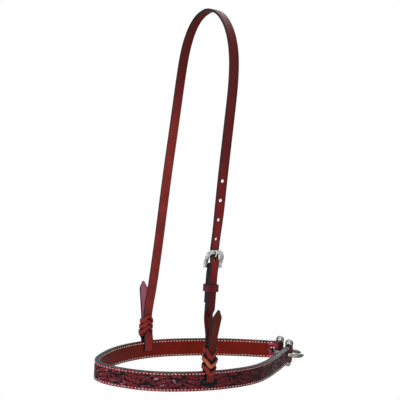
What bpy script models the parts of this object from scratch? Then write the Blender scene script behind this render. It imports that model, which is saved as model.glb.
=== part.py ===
"""Western bridle noseband: a tooled, lined nose strap that hangs from a buckled crown strap.

The origin is where the horse's poll carries the crown strap, +X points from nose to chin and
+Y to the far side. The band lies level and the hanger leans a little towards the chin.
"""
import math

import bmesh
import bpy
import numpy as np
from mathutils import Vector

MM = 0.001

# Clearances
GAP = 0.3 * MM                      # between pieces that touch
OVERRUN = 4.0 * MM                  # how far a cutter runs past what it cuts

# Nose band: two plies of leather, seen from above
BAND_HEIGHT = 25.4 * MM
PLY_THICKNESS = 2.85 * MM
NOSE_REACH = 115.5 * MM             # from the hanger slots to the front of the nose
CHIN_REACH = 193.9 * MM             # from the hanger slots to the pins
NEAR_BULGE = 91.0 * MM
FAR_BULGE = 76.0 * MM
NEAR_REACH_SHARES = (0.655, 0.405, 0.176, -0.02, -0.306, -0.59, -0.848)
NEAR_BULGE_SHARES = (0.659, 0.936, 1.0, 0.971, 0.882, 0.727, 0.437)
FAR_REACH_SHARES = (-0.778, -0.515, -0.264, -0.018, 0.145, 0.328, 0.585)
FAR_BULGE_SHARES = (0.48, 0.762, 0.914, 0.988, 0.989, 0.907, 0.704)
BAND_STEP = 12.0 * MM               # between the band's cross sections

# Folded ends and the hardware in them
PIN_SPACING = 22.4 * MM
PIN_RADIUS = 2.8 * MM
PIN_HEAD_RADIUS = 6.15 * MM
PIN_HEAD_RISE = 2.6 * MM            # centre of the round head above the band's edge
PIN_FOOT_RADIUS = 4.5 * MM
PIN_FOOT_DROP = 2.6 * MM            # centre of the small lower head below the band's edge
FOLD_TAPER = 12.0 * MM              # from the pin to where the two plies meet
FOLD_FLAP = 18.0 * MM               # from the pin to the end of the turned-back ply
RING_RADIUS = 22.2 * MM             # to the middle of the wire
RING_WIRE_RADIUS = 3.1 * MM
RING_SET_BACK = 6.4 * MM            # ring centre behind the pins
RING_DROOP_DEGREES = 6.5
RING_SLOT_START = 3.8 * MM          # from the pin's axis
RING_SLOT_LENGTH = 11.2 * MM
RING_SLOT_HEIGHT = 8.2 * MM

# Stitching
STITCH_INSET = 2.4 * MM             # from the leather's edge to the middle of the stitches
THREAD_WIDTH = 1.0 * MM
THREAD_DEPTH = 0.6 * MM

# Hanger straps
STRAP_WIDTH = 12.7 * MM
STRAP_THICKNESS = 3.2 * MM
STRAP_STEP = 8.0 * MM
STRAP_CLEARANCE = 0.8 * MM          # between a strap and the band that it swings on
HANGER_HEIGHT = 485.6 * MM          # from the slots to the middle of the crown strap's top
HANGER_LEAN_DEGREES = 2.75
HANGER_SLOT_LENGTH = 14.8 * MM
HANGER_SLOT_HEIGHT = 5.8 * MM
TWIST_HEIGHT = 60.0 * MM            # the straps turn square to the band below this height
CROWN_FLAT = 8.0 * MM               # flat that lies on the poll
CROWN_RUN_OUT = 0.8 * MM            # level run on each side of that flat
NEAR_SPREAD = 73.0 * MM
FAR_SPREAD = 80.0 * MM
NEAR_HEIGHT_SHARES = (0.984, 0.95, 0.85, 0.717, 0.551, 0.385, 0.218, 0.051)
NEAR_SPREAD_SHARES = (0.3, 0.524, 0.834, 0.978, 1.0, 0.992, 0.989, 0.99)
FAR_HEIGHT_SHARES = (0.989, 0.966, 0.897, 0.807, 0.693, 0.579, 0.465, 0.35, 0.26, 0.168, 0.078)
FAR_SPREAD_SHARES = (0.23, 0.41, 0.624, 0.708, 0.751, 0.794, 0.836, 0.865, 0.888, 0.92, 0.968)

# Holes and point of the crown strap, buckled on the near side
HOLE_COUNT = 5
HOLE_SPACING = 25.4 * MM
HOLE_RADIUS = 2.2 * MM
USED_HOLE_HEIGHT = 159.5 * MM       # above the slots
USED_HOLE_SPREAD = 73.1 * MM
USED_HOLE_LENGTH = 8.8 * MM
USED_HOLE_WIDTH = 4.2 * MM
STACK_LEAN_DEGREES = 3.2            # the buckled straps spread towards the band
CROWN_TIP_DROP = 78.0 * MM          # from the used hole to the strap's point
POINT_LENGTH = 9.5 * MM
POINT_WIDTH = 2.0 * MM

# Buckle
HEEL_BAR_RADIUS = 1.3 * MM
HEEL_BAR_DROP = 9.0 * MM            # below the used hole
FRAME_WIDTH = 28.8 * MM
FRAME_BAR_WIDTH = 4.6 * MM
FRAME_BAR_THICKNESS = 2.0 * MM
FRAME_RISE = 17.2 * MM              # from the heel bar to the middle of the top bar
FRAME_RAMP = 13.2 * MM              # run of the side bars in which they climb past the crown strap
FRAME_HEEL = 4.0 * MM               # length of the side bars below the heel bar
FRAME_SHOULDER = 4.5 * MM           # straight run of the side bars above the heel bar
FRAME_SQUARENESS = 2.8              # power of the rounded top: 2 is an ellipse
CROWN_BULGE = 1.0 * MM              # the crown strap bends out over the heel bar
CROWN_DIP = 1.1 * MM                # and in under the frame's top
BEND_RISE_SHARES = (2.0, 1.14, 0.85, 0.5, 0.12, -0.24, -0.76, -1.2)
BEND_LEVEL_SHARES = (0.0, -1.35, -1.35, -0.3, 1.0, 1.0, 0.0, 0.0)
BEND_STEP = 4.0 * MM
TONGUE_WIDTH = 2.4 * MM
TONGUE_THICKNESS = 1.2 * MM
TONGUE_OVERHANG = 1.6 * MM          # past the middle of the top bar
TONGUE_SLOT_WIDTH = 3.4 * MM
TONGUE_RISE_SHARES = (0.34, 0.62, 0.83, 1.0, 1.18, 1.37)
TONGUE_LEVEL_SHARES = (-0.55, -0.69, -0.47, 0.06, 0.62, 1.03)

# Buckle strap's turned-back end, its stitching and the keeper
SKIVED_THICKNESS = 1.2 * MM         # where the strap goes round the heel bar
TURN_THICKNESS = 2.2 * MM
TURN_LENGTH = 50.0 * MM             # below the heel bar
SKIVE_START = 4.0 * MM              # below the heel bar
SKIVE_LENGTH = 9.0 * MM
TURN_STITCH_TOP = 15.0 * MM         # below the heel bar
TURN_STITCH_LENGTH = 28.0 * MM
KEEPER_DROP = 39.5 * MM             # from the used hole to the middle of the keeper
KEEPER_HEIGHT = 9.4 * MM
KEEPER_THICKNESS = 1.8 * MM
KEEPER_CLEARANCE = 0.4 * MM

# Knots and tails
KNOT_TOP = 46.0 * MM
KNOT_FOOT_GAP = 1.9 * MM            # above the band's edge
KNOT_BEADS = 3
KNOT_WIDTH = 14.6 * MM
KNOT_BEAD_SWELL = 1.6 * MM
KNOT_DEPTH_SWELL = 0.4 * MM         # beyond the outside of the straps
NEAR_TAIL_HEIGHT = 95.0 * MM
FAR_TAIL_HEIGHT = 95.5 * MM
NEAR_STANDING_SETS = (-5.4 * MM, -8.1 * MM)
NEAR_TAIL_SETS = (0.8 * MM, 3.6 * MM, 7.6 * MM)
FAR_STANDING_SET = 4.6 * MM
FAR_TAIL_SETS = (12.0 * MM, 20.2 * MM, 28.2 * MM)
TAIL_HEIGHT_SHARES = (0.5, 0.75, 1.0)
STANDING_HEIGHT_SHARES = (1.0, 1.35)
STACK_RUN_SHARES = (0.25, 0.5, 0.75, 0.9, 1.0)

LEAN = math.radians(HANGER_LEAN_DEGREES)
UP = Vector((math.sin(LEAN), 0, math.cos(LEAN)))
ACROSS = Vector((math.cos(LEAN), 0, -math.sin(LEAN)))
VERTICAL = Vector((0, 0, 1))
SLOT_AXIS = -UP * (HANGER_HEIGHT - STRAP_THICKNESS / 2)
BAND_THICKNESS = 2 * PLY_THICKNESS + GAP
LEG_OFFSET = BAND_THICKNESS / 2 + STRAP_CLEARANCE + STRAP_THICKNESS / 2
LEG_BEND = STRAP_CLEARANCE + STRAP_THICKNESS / 2

LEATHERS = {
    "tooled": (0.16, 0.018, 0.02, 0.45),
    "lining": (0.15, 0.012, 0.008, 0.6),
    "strap": (0.17, 0.016, 0.014, 0.42),
    "thread": (0.62, 0.5, 0.42, 0.8),
}
NICKEL = (0.75, 0.73, 0.68, 0.22)


def make_material(name, values, metallic):
    """Principled material with one colour, roughness and metallic value."""
    material = bpy.data.materials.new(name)
    material.use_nodes = True
    shader = material.node_tree.nodes["Principled BSDF"]
    shader.inputs["Base Color"].default_value = (*values[:3], 1)
    shader.inputs["Roughness"].default_value = values[3]
    shader.inputs["Metallic"].default_value = metallic
    return material


def place_object(name, bm, material=None, origin=Vector()):
    """Turn world-space geometry into an object whose origin is the given point."""
    bm.normal_update()
    bmesh.ops.recalc_face_normals(bm, faces=bm.faces)
    bmesh.ops.translate(bm, verts=bm.verts, vec=-origin)
    mesh = bpy.data.meshes.new(name)
    bm.to_mesh(mesh)
    bm.free()
    obj = bpy.data.objects.new(name, mesh)
    obj.location = origin
    if material:
        mesh.materials.append(material)
        mesh.shade_smooth()
        mesh.set_sharp_from_angle(angle=math.radians(35))
    else:
        obj.display_type = "WIRE"
        obj.hide_render = True
    bpy.context.collection.objects.link(obj)
    return obj


def apply_boolean(obj, tool, operation="DIFFERENCE"):
    """Cut a guide out of an object, or join it on."""
    modifier = obj.modifiers.new(tool.name, "BOOLEAN")
    modifier.operation = operation
    modifier.object = tool


def smooth_run(points, step):
    """Evenly spaced points, about a step apart, on a natural cubic spline."""
    table = np.array([tuple(point) for point in points])
    spans = np.linalg.norm(np.diff(table, axis=0), axis=1)
    knots = np.concatenate([[0], np.cumsum(spans)])
    system = np.eye(len(table))
    bends = np.zeros_like(table)
    slopes = np.diff(table, axis=0) / spans[:, None]
    for i in range(1, len(table) - 1):
        system[i, i - 1:i + 2] = spans[i - 1], 2 * (spans[i - 1] + spans[i]), spans[i]
        bends[i] = 6 * (slopes[i] - slopes[i - 1])
    bends = np.linalg.solve(system, bends)
    count = max(2, round(knots[-1] / step) + 1)
    run = []
    for place in np.linspace(0, knots[-1], count):
        i = min(np.searchsorted(knots, place, side="right") - 1, len(spans) - 1)
        a, b = (knots[i + 1] - place) / spans[i], (place - knots[i]) / spans[i]
        curve = (a ** 3 - a) * bends[i] + (b ** 3 - b) * bends[i + 1]
        run.append(Vector(a * table[i] + b * table[i + 1] + curve * spans[i] ** 2 / 6))
    return run


def run_tangents(points, closed=False):
    """Unit direction of the run at each of its points."""
    count = len(points)
    tangents = []
    for i in range(count):
        before = points[i - 1] if closed or i else points[0]
        after = points[(i + 1) % count] if closed or i < count - 1 else points[-1]
        tangents.append((after - before).normalized())
    return tangents


def sweep(points, acrosses, sections, closed=False):
    """Skin of the sections (across, outward) carried along the points."""
    bm = bmesh.new()
    loops = []
    for point, tangent, across, section in zip(points, run_tangents(points, closed), acrosses, sections):
        outward = across.cross(tangent).normalized()
        loops.append([bm.verts.new(point + across * a + outward * b) for a, b in section])
    pairs = list(zip(loops, loops[1:]))
    if closed:
        pairs.append((loops[-1], loops[0]))
    for first, second in pairs:
        for i in range(len(first)):
            j = (i + 1) % len(first)
            bm.faces.new((first[i], first[j], second[j], second[i]))
    if not closed:
        bm.faces.new(reversed(loops[0]))
        bm.faces.new(loops[-1])
    return bm


def rectangle(width, thickness, middle=(0, 0)):
    """Corners of a rectangular section."""
    a, b = middle
    return [(a + i * width / 2, b + j * thickness / 2) for i, j in ((-1, -1), (1, -1), (1, 1), (-1, 1))]


def circle(radius, count):
    """Points of a round section."""
    turns = [2 * math.pi * i / count for i in range(count)]
    return [(radius * math.cos(turn), radius * math.sin(turn)) for turn in turns]


def box_cutter(name, middle, axes, sizes):
    """Box guide with its edges along three given axes."""
    bm = bmesh.new()
    bmesh.ops.create_cube(bm, size=1)
    for vert in bm.verts:
        vert.co = middle + sum((axis * size * share for axis, size, share
                                in zip(axes, sizes, vert.co)), Vector())
    return place_object(name, bm)


def tube_cutter(name, start, end, radius, sides=12):
    """Round guide between two points."""
    axis = (end - start).normalized()
    across = axis.orthogonal().normalized()
    bm = sweep([start, end], [across] * 2, [circle(radius, sides)] * 2)
    return place_object(name, bm)


def lathe(name, profile, base, axis, material, sides=16):
    """Turned piece of the band: (radius, height) points from one end of the axis to the other."""
    side = axis.orthogonal().normalized()
    other = axis.cross(side)
    bm = bmesh.new()
    rings = []
    for radius, height in profile:
        centre = base + axis * height
        if radius:
            rings.append([bm.verts.new(centre + side * a + other * b) for a, b in circle(radius, sides)])
        else:
            rings.append([bm.verts.new(centre)] * sides)
    for first, second in zip(rings, rings[1:]):
        for i in range(sides):
            j = (i + 1) % sides
            corners = dict.fromkeys((first[i], first[j], second[j], second[i]))
            bm.faces.new(tuple(corners))
    return place_object(name, bm, material, SLOT_AXIS)


# Nose band

def band_point(x, y, z=0.0):
    """Point in the band's own frame: level, with its origin on the slots' axis."""
    return SLOT_AXIS + Vector((x, y, z))


NEAR_PIN = band_point(CHIN_REACH, -PIN_SPACING / 2)
FAR_PIN = band_point(CHIN_REACH, PIN_SPACING / 2)


def reach(share):
    """Signed distance from the slots, towards the chin or the nose."""
    return share * (CHIN_REACH if share > 0 else NOSE_REACH)


def band_middle():
    """Run between the plies, from the near pin round the nose to the far pin."""
    near = [band_point(reach(along), -out * NEAR_BULGE)
            for along, out in zip(NEAR_REACH_SHARES, NEAR_BULGE_SHARES)]
    far = [band_point(reach(along), out * FAR_BULGE)
           for along, out in zip(FAR_REACH_SHARES, FAR_BULGE_SHARES)]
    nose = band_point(-NOSE_REACH, 0)
    return smooth_run([NEAR_PIN, *near, nose, *far, FAR_PIN], BAND_STEP)


def trim_run(points, near_length, far_length):
    """The run without a length at each end."""
    lengths = np.cumsum([0] + [(b - a).length for a, b in zip(points, points[1:])])

    def at(place):
        i = int(np.searchsorted(lengths, place, side="right")) - 1
        share = (place - lengths[i]) / (lengths[i + 1] - lengths[i])
        return points[i].lerp(points[i + 1], share)

    last = lengths[-1] - far_length
    inner = [p for p, place in zip(points, lengths) if near_length + BAND_STEP / 4 < place < last - BAND_STEP / 4]
    return [at(near_length), *inner, at(last)]


def offset_run(points, distance):
    """The run moved outwards, away from the middle of the loop."""
    return [point + VERTICAL.cross(tangent) * distance
            for point, tangent in zip(points, run_tangents(points))]


def pin_fold(pin, first, last, turn):
    """Arc of the outer ply round a pin, between the tangents from two points."""
    radius = PIN_RADIUS + GAP + PLY_THICKNESS / 2

    def tangent_turn(point, side):
        line = point - pin
        return math.atan2(line.y, line.x) + side * math.acos(radius / line.length)

    start = tangent_turn(first, -turn)
    end = tangent_turn(last, turn)
    swept = 2 * math.pi - (turn * (end - start)) % (2 * math.pi)
    count = round(swept / math.radians(22))
    turns = [start - turn * swept * i / count for i in range(count + 1)]
    return [pin + Vector((math.cos(t), math.sin(t), 0)) * radius for t in turns]


def outer_ply_run(middle):
    """Middle of the outer ply: flap, fold, round the nose, fold and flap."""
    set_out = (PLY_THICKNESS + GAP) / 2
    flap_inset = -set_out
    body = offset_run(trim_run(middle, FOLD_TAPER, FOLD_TAPER), set_out)
    inner = offset_run(trim_run(middle, FOLD_TAPER, FOLD_TAPER), flap_inset)
    tips = offset_run(trim_run(middle, FOLD_FLAP, FOLD_FLAP), flap_inset)
    near = [tips[0], inner[0], *pin_fold(NEAR_PIN, inner[0], body[0], 1)]
    far = [*reversed(pin_fold(FAR_PIN, inner[-1], body[-1], -1)), inner[-1], tips[-1]]
    return near + body + far


def grooved_section(side):
    """Ply section with a stitching groove near each edge of one face."""
    height, thickness = BAND_HEIGHT, PLY_THICKNESS
    groove = THREAD_WIDTH / 2 + GAP
    floor = thickness / 2 - THREAD_DEPTH - GAP
    place = height / 2 - STITCH_INSET
    face = []
    for middle in (place, -place):
        face += [(middle + groove, thickness / 2), (middle + groove, floor),
                 (middle - groove, floor), (middle - groove, thickness / 2)]
    corners = [(-height / 2, thickness / 2), (-height / 2, -thickness / 2),
               (height / 2, -thickness / 2), (height / 2, thickness / 2)]
    return [(a, side * b) for a, b in face + corners]


def make_plies(middle, materials):
    """The two plies of the band."""
    run = outer_ply_run(middle)
    bm = sweep(run, [VERTICAL] * len(run), [grooved_section(1)] * len(run))
    outer = place_object("tooled_outer_band", bm, materials["tooled"], SLOT_AXIS)
    run = offset_run(trim_run(middle, FOLD_FLAP + GAP, FOLD_FLAP + GAP), -(PLY_THICKNESS + GAP) / 2)
    bm = sweep(run, [VERTICAL] * len(run), [grooved_section(-1)] * len(run))
    lining = place_object("band_lining", bm, materials["lining"], SLOT_AXIS)
    return outer, lining


def make_threads(middle, materials):
    """Four stitched rows, one near each edge of both faces."""
    run = trim_run(middle, FOLD_TAPER, FOLD_TAPER)
    set_out = (BAND_THICKNESS - THREAD_DEPTH) / 2
    place = BAND_HEIGHT / 2 - STITCH_INSET
    for face, side in (("outer", 1), ("lining", -1)):
        path = offset_run(run, side * set_out)
        for edge, level in (("top", place), ("bottom", -place)):
            section = rectangle(THREAD_WIDTH, THREAD_DEPTH, (level, 0))
            bm = sweep(path, [VERTICAL] * len(path), [section] * len(path))
            place_object(f"{face}_{edge}_thread", bm, materials["thread"], SLOT_AXIS)


def slot_side(middle, sign):
    """Centre and outward direction of the band at a hanger slot."""
    for a, b in zip(middle, middle[1:]):
        if (a.x - SLOT_AXIS.x) * (b.x - SLOT_AXIS.x) <= 0 and sign * a.y > 0:
            centre = a.lerp(b, (SLOT_AXIS.x - a.x) / (b.x - a.x))
            return centre, VERTICAL.cross((b - a).normalized())


def cut_ring_slots(outer, middle):
    """A slot through each folded end, just inside the pin, for the ring."""
    for name, pin, inward in (("near", NEAR_PIN, middle[1]), ("far", FAR_PIN, middle[-2])):
        along = (inward - pin).normalized()
        centre = pin + along * (RING_SLOT_START + RING_SLOT_LENGTH / 2)
        depth = 2 * (PIN_RADIUS + GAP + PLY_THICKNESS + OVERRUN)
        axes = (along, VERTICAL.cross(along), VERTICAL)
        sizes = (RING_SLOT_LENGTH, depth, RING_SLOT_HEIGHT)
        apply_boolean(outer, box_cutter(f"{name}_ring_slot", centre, axes, sizes))


def cut_hanger_slots(plies, sides):
    """A level slot through both plies where each hanger strap passes."""
    for name, (centre, outward) in sides.items():
        axes = (VERTICAL.cross(outward), outward, VERTICAL)
        sizes = (HANGER_SLOT_LENGTH, BAND_THICKNESS + OVERRUN, HANGER_SLOT_HEIGHT)
        cutter = box_cutter(f"{name}_hanger_slot", centre, axes, sizes)
        for ply in plies:
            apply_boolean(ply, cutter)


def make_pins(materials):
    """Pin with a large round head above the fold and a small one below."""
    half = BAND_HEIGHT / 2
    head, foot = half + PIN_HEAD_RISE, half + PIN_FOOT_DROP
    profile = [(0, -foot - PIN_FOOT_RADIUS)]
    for level in (-0.92, -0.7, -0.35, 0.0, 0.4):
        profile.append((PIN_FOOT_RADIUS * math.sqrt(1 - level ** 2), -foot + PIN_FOOT_RADIUS * level))
    under = PIN_FOOT_DROP - GAP
    profile += [(math.sqrt(PIN_FOOT_RADIUS ** 2 - under ** 2), -half - GAP),
                (PIN_RADIUS, -half - GAP), (PIN_RADIUS, half + GAP)]
    seat = PIN_HEAD_RISE - GAP
    profile.append((math.sqrt(PIN_HEAD_RADIUS ** 2 - seat ** 2), half + GAP))
    for level in (-0.1, 0.3, 0.62, 0.86, 0.97):
        profile.append((PIN_HEAD_RADIUS * math.sqrt(1 - level ** 2), head + PIN_HEAD_RADIUS * level))
    profile.append((0, head + PIN_HEAD_RADIUS))
    for name, pin in (("near_pin", NEAR_PIN), ("far_pin", FAR_PIN)):
        lathe(name, profile, pin, VERTICAL, materials["nickel"])


def ring_pivot(middle):
    """Point between the two slots that the ring rocks about."""
    along = (middle[1] - NEAR_PIN).normalized()
    return band_point(CHIN_REACH + along.x * (RING_SLOT_START + RING_SLOT_LENGTH / 2), 0)


def make_ring(middle, materials):
    """Round ring through both slots, hanging a little behind the chin."""
    droop = math.radians(RING_DROOP_DEGREES)
    back = Vector((math.cos(droop), 0, -math.sin(droop)))
    axis = Vector((math.sin(droop), 0, math.cos(droop)))
    side = Vector((0, 1, 0))
    pivot = ring_pivot(middle)
    centre = pivot + back * (CHIN_REACH + RING_SET_BACK - (pivot.x - SLOT_AXIS.x))
    points = [centre + back * a + side * b for a, b in circle(RING_RADIUS, 40)]
    count = len(points)
    bm = sweep(points, [axis] * count, [circle(RING_WIRE_RADIUS, 10)] * count, closed=True)
    place_object("rear_ring", bm, materials["nickel"], pivot)


# Hanger straps

class HangerSide:
    """Places beside one slot: height up the hanger and distance set out from the band."""

    def __init__(self, centre, outward, sign):
        self.centre = centre
        self.square = outward
        self.outward = Vector((0, sign, 0))
        self.sign = sign

    def facing(self, height):
        share = min(max(height / TWIST_HEIGHT, 0), 1)
        share = share * share * (3 - 2 * share)
        return self.square.lerp(self.outward, share).normalized()

    def point(self, height, set_out):
        return self.centre + UP * height + self.facing(height) * set_out

    def spread_point(self, height, spread):
        """Point at a distance from the plane between the two sides."""
        return self.point(height, spread - abs(self.centre.y))

    def across(self, point):
        height = (point - self.centre).dot(UP)
        return (UP.cross(self.facing(height)) * -self.sign).normalized()

    def slot_turn(self):
        """The strap's U-turn: down inside the band, through the slot and up outside."""
        face = BAND_THICKNESS / 2
        bend = [math.radians(90 * i / 4) for i in range(5)]
        down = [self.point(LEG_BEND * (1 - math.sin(t)), -face - LEG_BEND * math.cos(t)) for t in bend]
        up = [self.point(LEG_BEND * (1 - math.sin(t)), face + LEG_BEND * math.cos(t)) for t in reversed(bend)]
        return down + up

    def leg(self, set_out):
        """Straight leg against the band's face, from the slot past its edge."""
        top = BAND_HEIGHT / 2 + KNOT_FOOT_GAP
        return [self.point(top * share, set_out) for share in (0.5, 1.0)]


def point_width(distance):
    """Strap width at a distance from its pointed end."""
    share = min(distance / POINT_LENGTH, 1)
    return POINT_WIDTH + (STRAP_WIDTH - POINT_WIDTH) * share


def tail_run(side, tail_height, tail_sets):
    """From the outer leg through the knot to the tail's tip, with its shoulders marked."""
    places = [side.point(tail_height * share, set_out)
              for share, set_out in zip(TAIL_HEIGHT_SHARES, tail_sets)]
    legs = side.leg(LEG_OFFSET)
    run = smooth_run([legs[0], legs[1], *places], STRAP_STEP)
    tip, before = run[-1], run[-2]
    shoulder = tip + (before - tip).normalized() * POINT_LENGTH
    while (run[-2] - tip).length < POINT_LENGTH + GAP:
        run.pop(-2)
    return run[:-1] + [shoulder, tip]


def strap_sections(points, pointed_start, pointed_end, thicknesses=None):
    """Rectangular sections, narrowed to a point at one or both ends."""
    sections = []
    for i, point in enumerate(points):
        width = STRAP_WIDTH
        if pointed_start:
            width = min(width, point_width((point - points[0]).length))
        if pointed_end:
            width = min(width, point_width((point - points[-1]).length))
        sections.append(rectangle(width, thicknesses[i] if thicknesses else STRAP_THICKNESS))
    return sections


def knot_body(name, side, inner_set, outer_set):
    """Plain solid of the plaited knot: three beads round the two legs of the strap."""
    foot = BAND_HEIGHT / 2 + KNOT_FOOT_GAP
    rise = KNOT_TOP - foot
    steps = 4 * KNOT_BEADS
    points, sections = [], []
    for i in range(steps + 1):
        share = i / steps
        swell = KNOT_BEAD_SWELL * math.sin(math.pi * share * KNOT_BEADS) ** 2
        inner = -LEG_OFFSET * (1 - share) + inner_set * share
        outer = LEG_OFFSET * (1 - share) + outer_set * share
        depth = outer - inner + STRAP_THICKNESS + 2 * KNOT_DEPTH_SWELL
        points.append(side.point(foot + rise * share, (inner + outer) / 2))
        half_width, half_depth = KNOT_WIDTH / 2 + swell, depth / 2
        cut = half_depth / 2
        corners = [(half_width, half_depth - cut), (half_width - cut, half_depth)]
        quarter = [(i_sign * a, j_sign * b) for i_sign, j_sign, order in
                   ((1, 1, 1), (-1, 1, -1), (-1, -1, 1), (1, -1, -1)) for a, b in corners[::order]]
        sections.append(quarter)
    return place_object(name, sweep(points, [side.across(p) for p in points], sections))


def stack_frame(near):
    """The used hole's centre, and the directions along and out of the buckled straps."""
    lean = math.radians(STACK_LEAN_DEGREES)
    centre = near.spread_point(USED_HOLE_HEIGHT, USED_HOLE_SPREAD)
    along = UP * math.cos(lean) - near.outward * math.sin(lean)
    out = near.outward * math.cos(lean) + UP * math.sin(lean)
    return centre, along, out


def stack_point(stack, rise, level, across=0.0):
    """Point above the heel bar and out from the crown strap's middle."""
    centre, along, out = stack
    return centre + along * (rise - HEEL_BAR_DROP) + out * level + ACROSS * across


BAR_LEVEL = CROWN_BULGE - STRAP_THICKNESS / 2 - GAP - SKIVED_THICKNESS - GAP - HEEL_BAR_RADIUS
UNDER_LEVEL = -STRAP_THICKNESS - GAP
TURN_LEVEL = UNDER_LEVEL - STRAP_THICKNESS / 2 - GAP - TURN_THICKNESS / 2
TOP_BAR_LEVEL = STRAP_THICKNESS / 2 - CROWN_DIP + GAP + FRAME_BAR_THICKNESS / 2


def crown_run(near, far, stack):
    """Crown strap from the far tail's tip, over the poll, to the point on the near side."""
    flat = CROWN_FLAT / 2
    top = UP * STRAP_THICKNESS / 2
    level = [top + Vector((0, y, 0)) for y in (flat + CROWN_RUN_OUT, flat, -flat, -flat - CROWN_RUN_OUT)]
    rising = [far.leg(-LEG_OFFSET)[1], far.point(KNOT_TOP, FAR_STANDING_SET)]
    rising += [far.spread_point(KNOT_TOP + (HANGER_HEIGHT - KNOT_TOP) * h, FAR_SPREAD * s)
               for h, s in reversed(list(zip(FAR_HEIGHT_SHARES, FAR_SPREAD_SHARES)))]
    bend_top = USED_HOLE_HEIGHT - HEEL_BAR_DROP + FRAME_RISE * BEND_RISE_SHARES[0]
    falling = [near.spread_point(bend_top + (HANGER_HEIGHT - bend_top) * h, NEAR_SPREAD * s)
               for h, s in zip(NEAR_HEIGHT_SHARES, NEAR_SPREAD_SHARES)]
    bends = [stack_point(stack, FRAME_RISE * rise, CROWN_BULGE * level)
             for rise, level in zip(BEND_RISE_SHARES, BEND_LEVEL_SHARES)]
    tip = stack_point(stack, HEEL_BAR_DROP - CROWN_TIP_DROP, 0)
    shoulder = stack_point(stack, HEEL_BAR_DROP - CROWN_TIP_DROP + POINT_LENGTH, 0)
    far_run = smooth_run([*rising, level[0]], STRAP_STEP)[:-1]
    near_run = smooth_run([level[-1], *falling, bends[0]], STRAP_STEP)[1:]
    stack_run = smooth_run([*bends, shoulder], BEND_STEP)[1:]
    tail = tail_run(far, FAR_TAIL_HEIGHT, FAR_TAIL_SETS)
    return [*reversed(tail), *reversed(far.slot_turn()), *far_run, *level, *near_run, *stack_run, tip]


def make_crown_strap(near, far, stack, materials):
    """Long strap with its knot, holes and point."""
    run = crown_run(near, far, stack)
    top = run.index(max(run, key=lambda p: p.dot(UP)))
    acrosses = [(far if i < top else near).across(p) for i, p in enumerate(run)]
    bm = sweep(run, acrosses, strap_sections(run, True, True))
    strap = place_object("crown_strap", bm, materials["strap"])
    apply_boolean(strap, knot_body("far_knot", far, FAR_STANDING_SET, FAR_TAIL_SETS[0]), "UNION")
    centre, along, out = stack
    for i in range(1, HOLE_COUNT):
        spot = hole_spot(run, centre, i * HOLE_SPACING)
        cutter = tube_cutter(f"hole_{i}", spot - out * STRAP_THICKNESS, spot + out * STRAP_THICKNESS, HOLE_RADIUS)
        apply_boolean(strap, cutter)
    sizes = (USED_HOLE_WIDTH, USED_HOLE_LENGTH, STRAP_THICKNESS + OVERRUN)
    apply_boolean(strap, box_cutter("used_hole", centre, (ACROSS, along, out), sizes))


def hole_spot(run, start, distance):
    """Point of the run at a distance above the used hole."""
    above = [p for p in reversed(run) if (p - start).dot(UP) > 0 and p.y < 0]
    here, left = start, distance
    for point in above:
        step = (point - here).length
        if step >= left:
            return here.lerp(point, left / step)
        here, left = point, left - step
    return here


def bar_centre(stack):
    """Centre of the buckle's heel bar."""
    return stack_point(stack, 0, BAR_LEVEL)


def buckle_run(near, stack):
    """Buckle strap from its turned-back end, round the heel bar, to the tail's tip."""
    _, along, out = stack
    bar = bar_centre(stack)
    radius = HEEL_BAR_RADIUS + GAP + SKIVED_THICKNESS / 2
    skive_end = SKIVE_START + SKIVE_LENGTH
    back = [(stack_point(stack, -TURN_LENGTH, TURN_LEVEL), TURN_THICKNESS),
            (stack_point(stack, -(TURN_LENGTH + skive_end) / 2, TURN_LEVEL), TURN_THICKNESS),
            (stack_point(stack, -skive_end, TURN_LEVEL), TURN_THICKNESS),
            (stack_point(stack, -SKIVE_START, BAR_LEVEL - radius), SKIVED_THICKNESS)]
    arc = [math.radians(-90 + 180 * i / 8) for i in range(9)]
    turn = [(bar + along * radius * math.cos(t) + out * radius * math.sin(t), SKIVED_THICKNESS) for t in arc]
    front = [(stack_point(stack, -SKIVE_START, BAR_LEVEL + radius), SKIVED_THICKNESS),
             (stack_point(stack, -skive_end, UNDER_LEVEL), STRAP_THICKNESS)]
    under_point = CROWN_TIP_DROP - HEEL_BAR_DROP - skive_end
    straight = [stack_point(stack, -skive_end - under_point * share, UNDER_LEVEL)
                for share in STACK_RUN_SHARES]
    standing = [near.point(KNOT_TOP * share, set_out)
                for share, set_out in zip(STANDING_HEIGHT_SHARES, NEAR_STANDING_SETS)]
    lower = [*reversed(standing), near.leg(-LEG_OFFSET)[1]]
    falling = smooth_run([front[-1][0], *straight, *lower], STRAP_STEP)[1:]
    tail = tail_run(near, NEAR_TAIL_HEIGHT, NEAR_TAIL_SETS)
    plain = falling + near.slot_turn() + tail
    shaped = back + turn + front
    return [p for p, _ in shaped] + plain, [t for _, t in shaped] + [STRAP_THICKNESS] * len(plain)


def turn_stitch_outline(stack, margin):
    """U of thread on the turned-back end, as (along, across) corners."""
    width = STRAP_WIDTH - 2 * STITCH_INSET
    half, reach_in = THREAD_WIDTH / 2 + margin, THREAD_WIDTH / 2 + margin
    top, bottom = margin, -TURN_STITCH_LENGTH - reach_in
    outer, inner = width / 2 + half, width / 2 - half
    return [(top, -outer), (bottom, -outer), (bottom, outer), (top, outer), (top, inner),
            (-TURN_STITCH_LENGTH + reach_in, inner), (-TURN_STITCH_LENGTH + reach_in, -inner), (top, -inner)]


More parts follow.
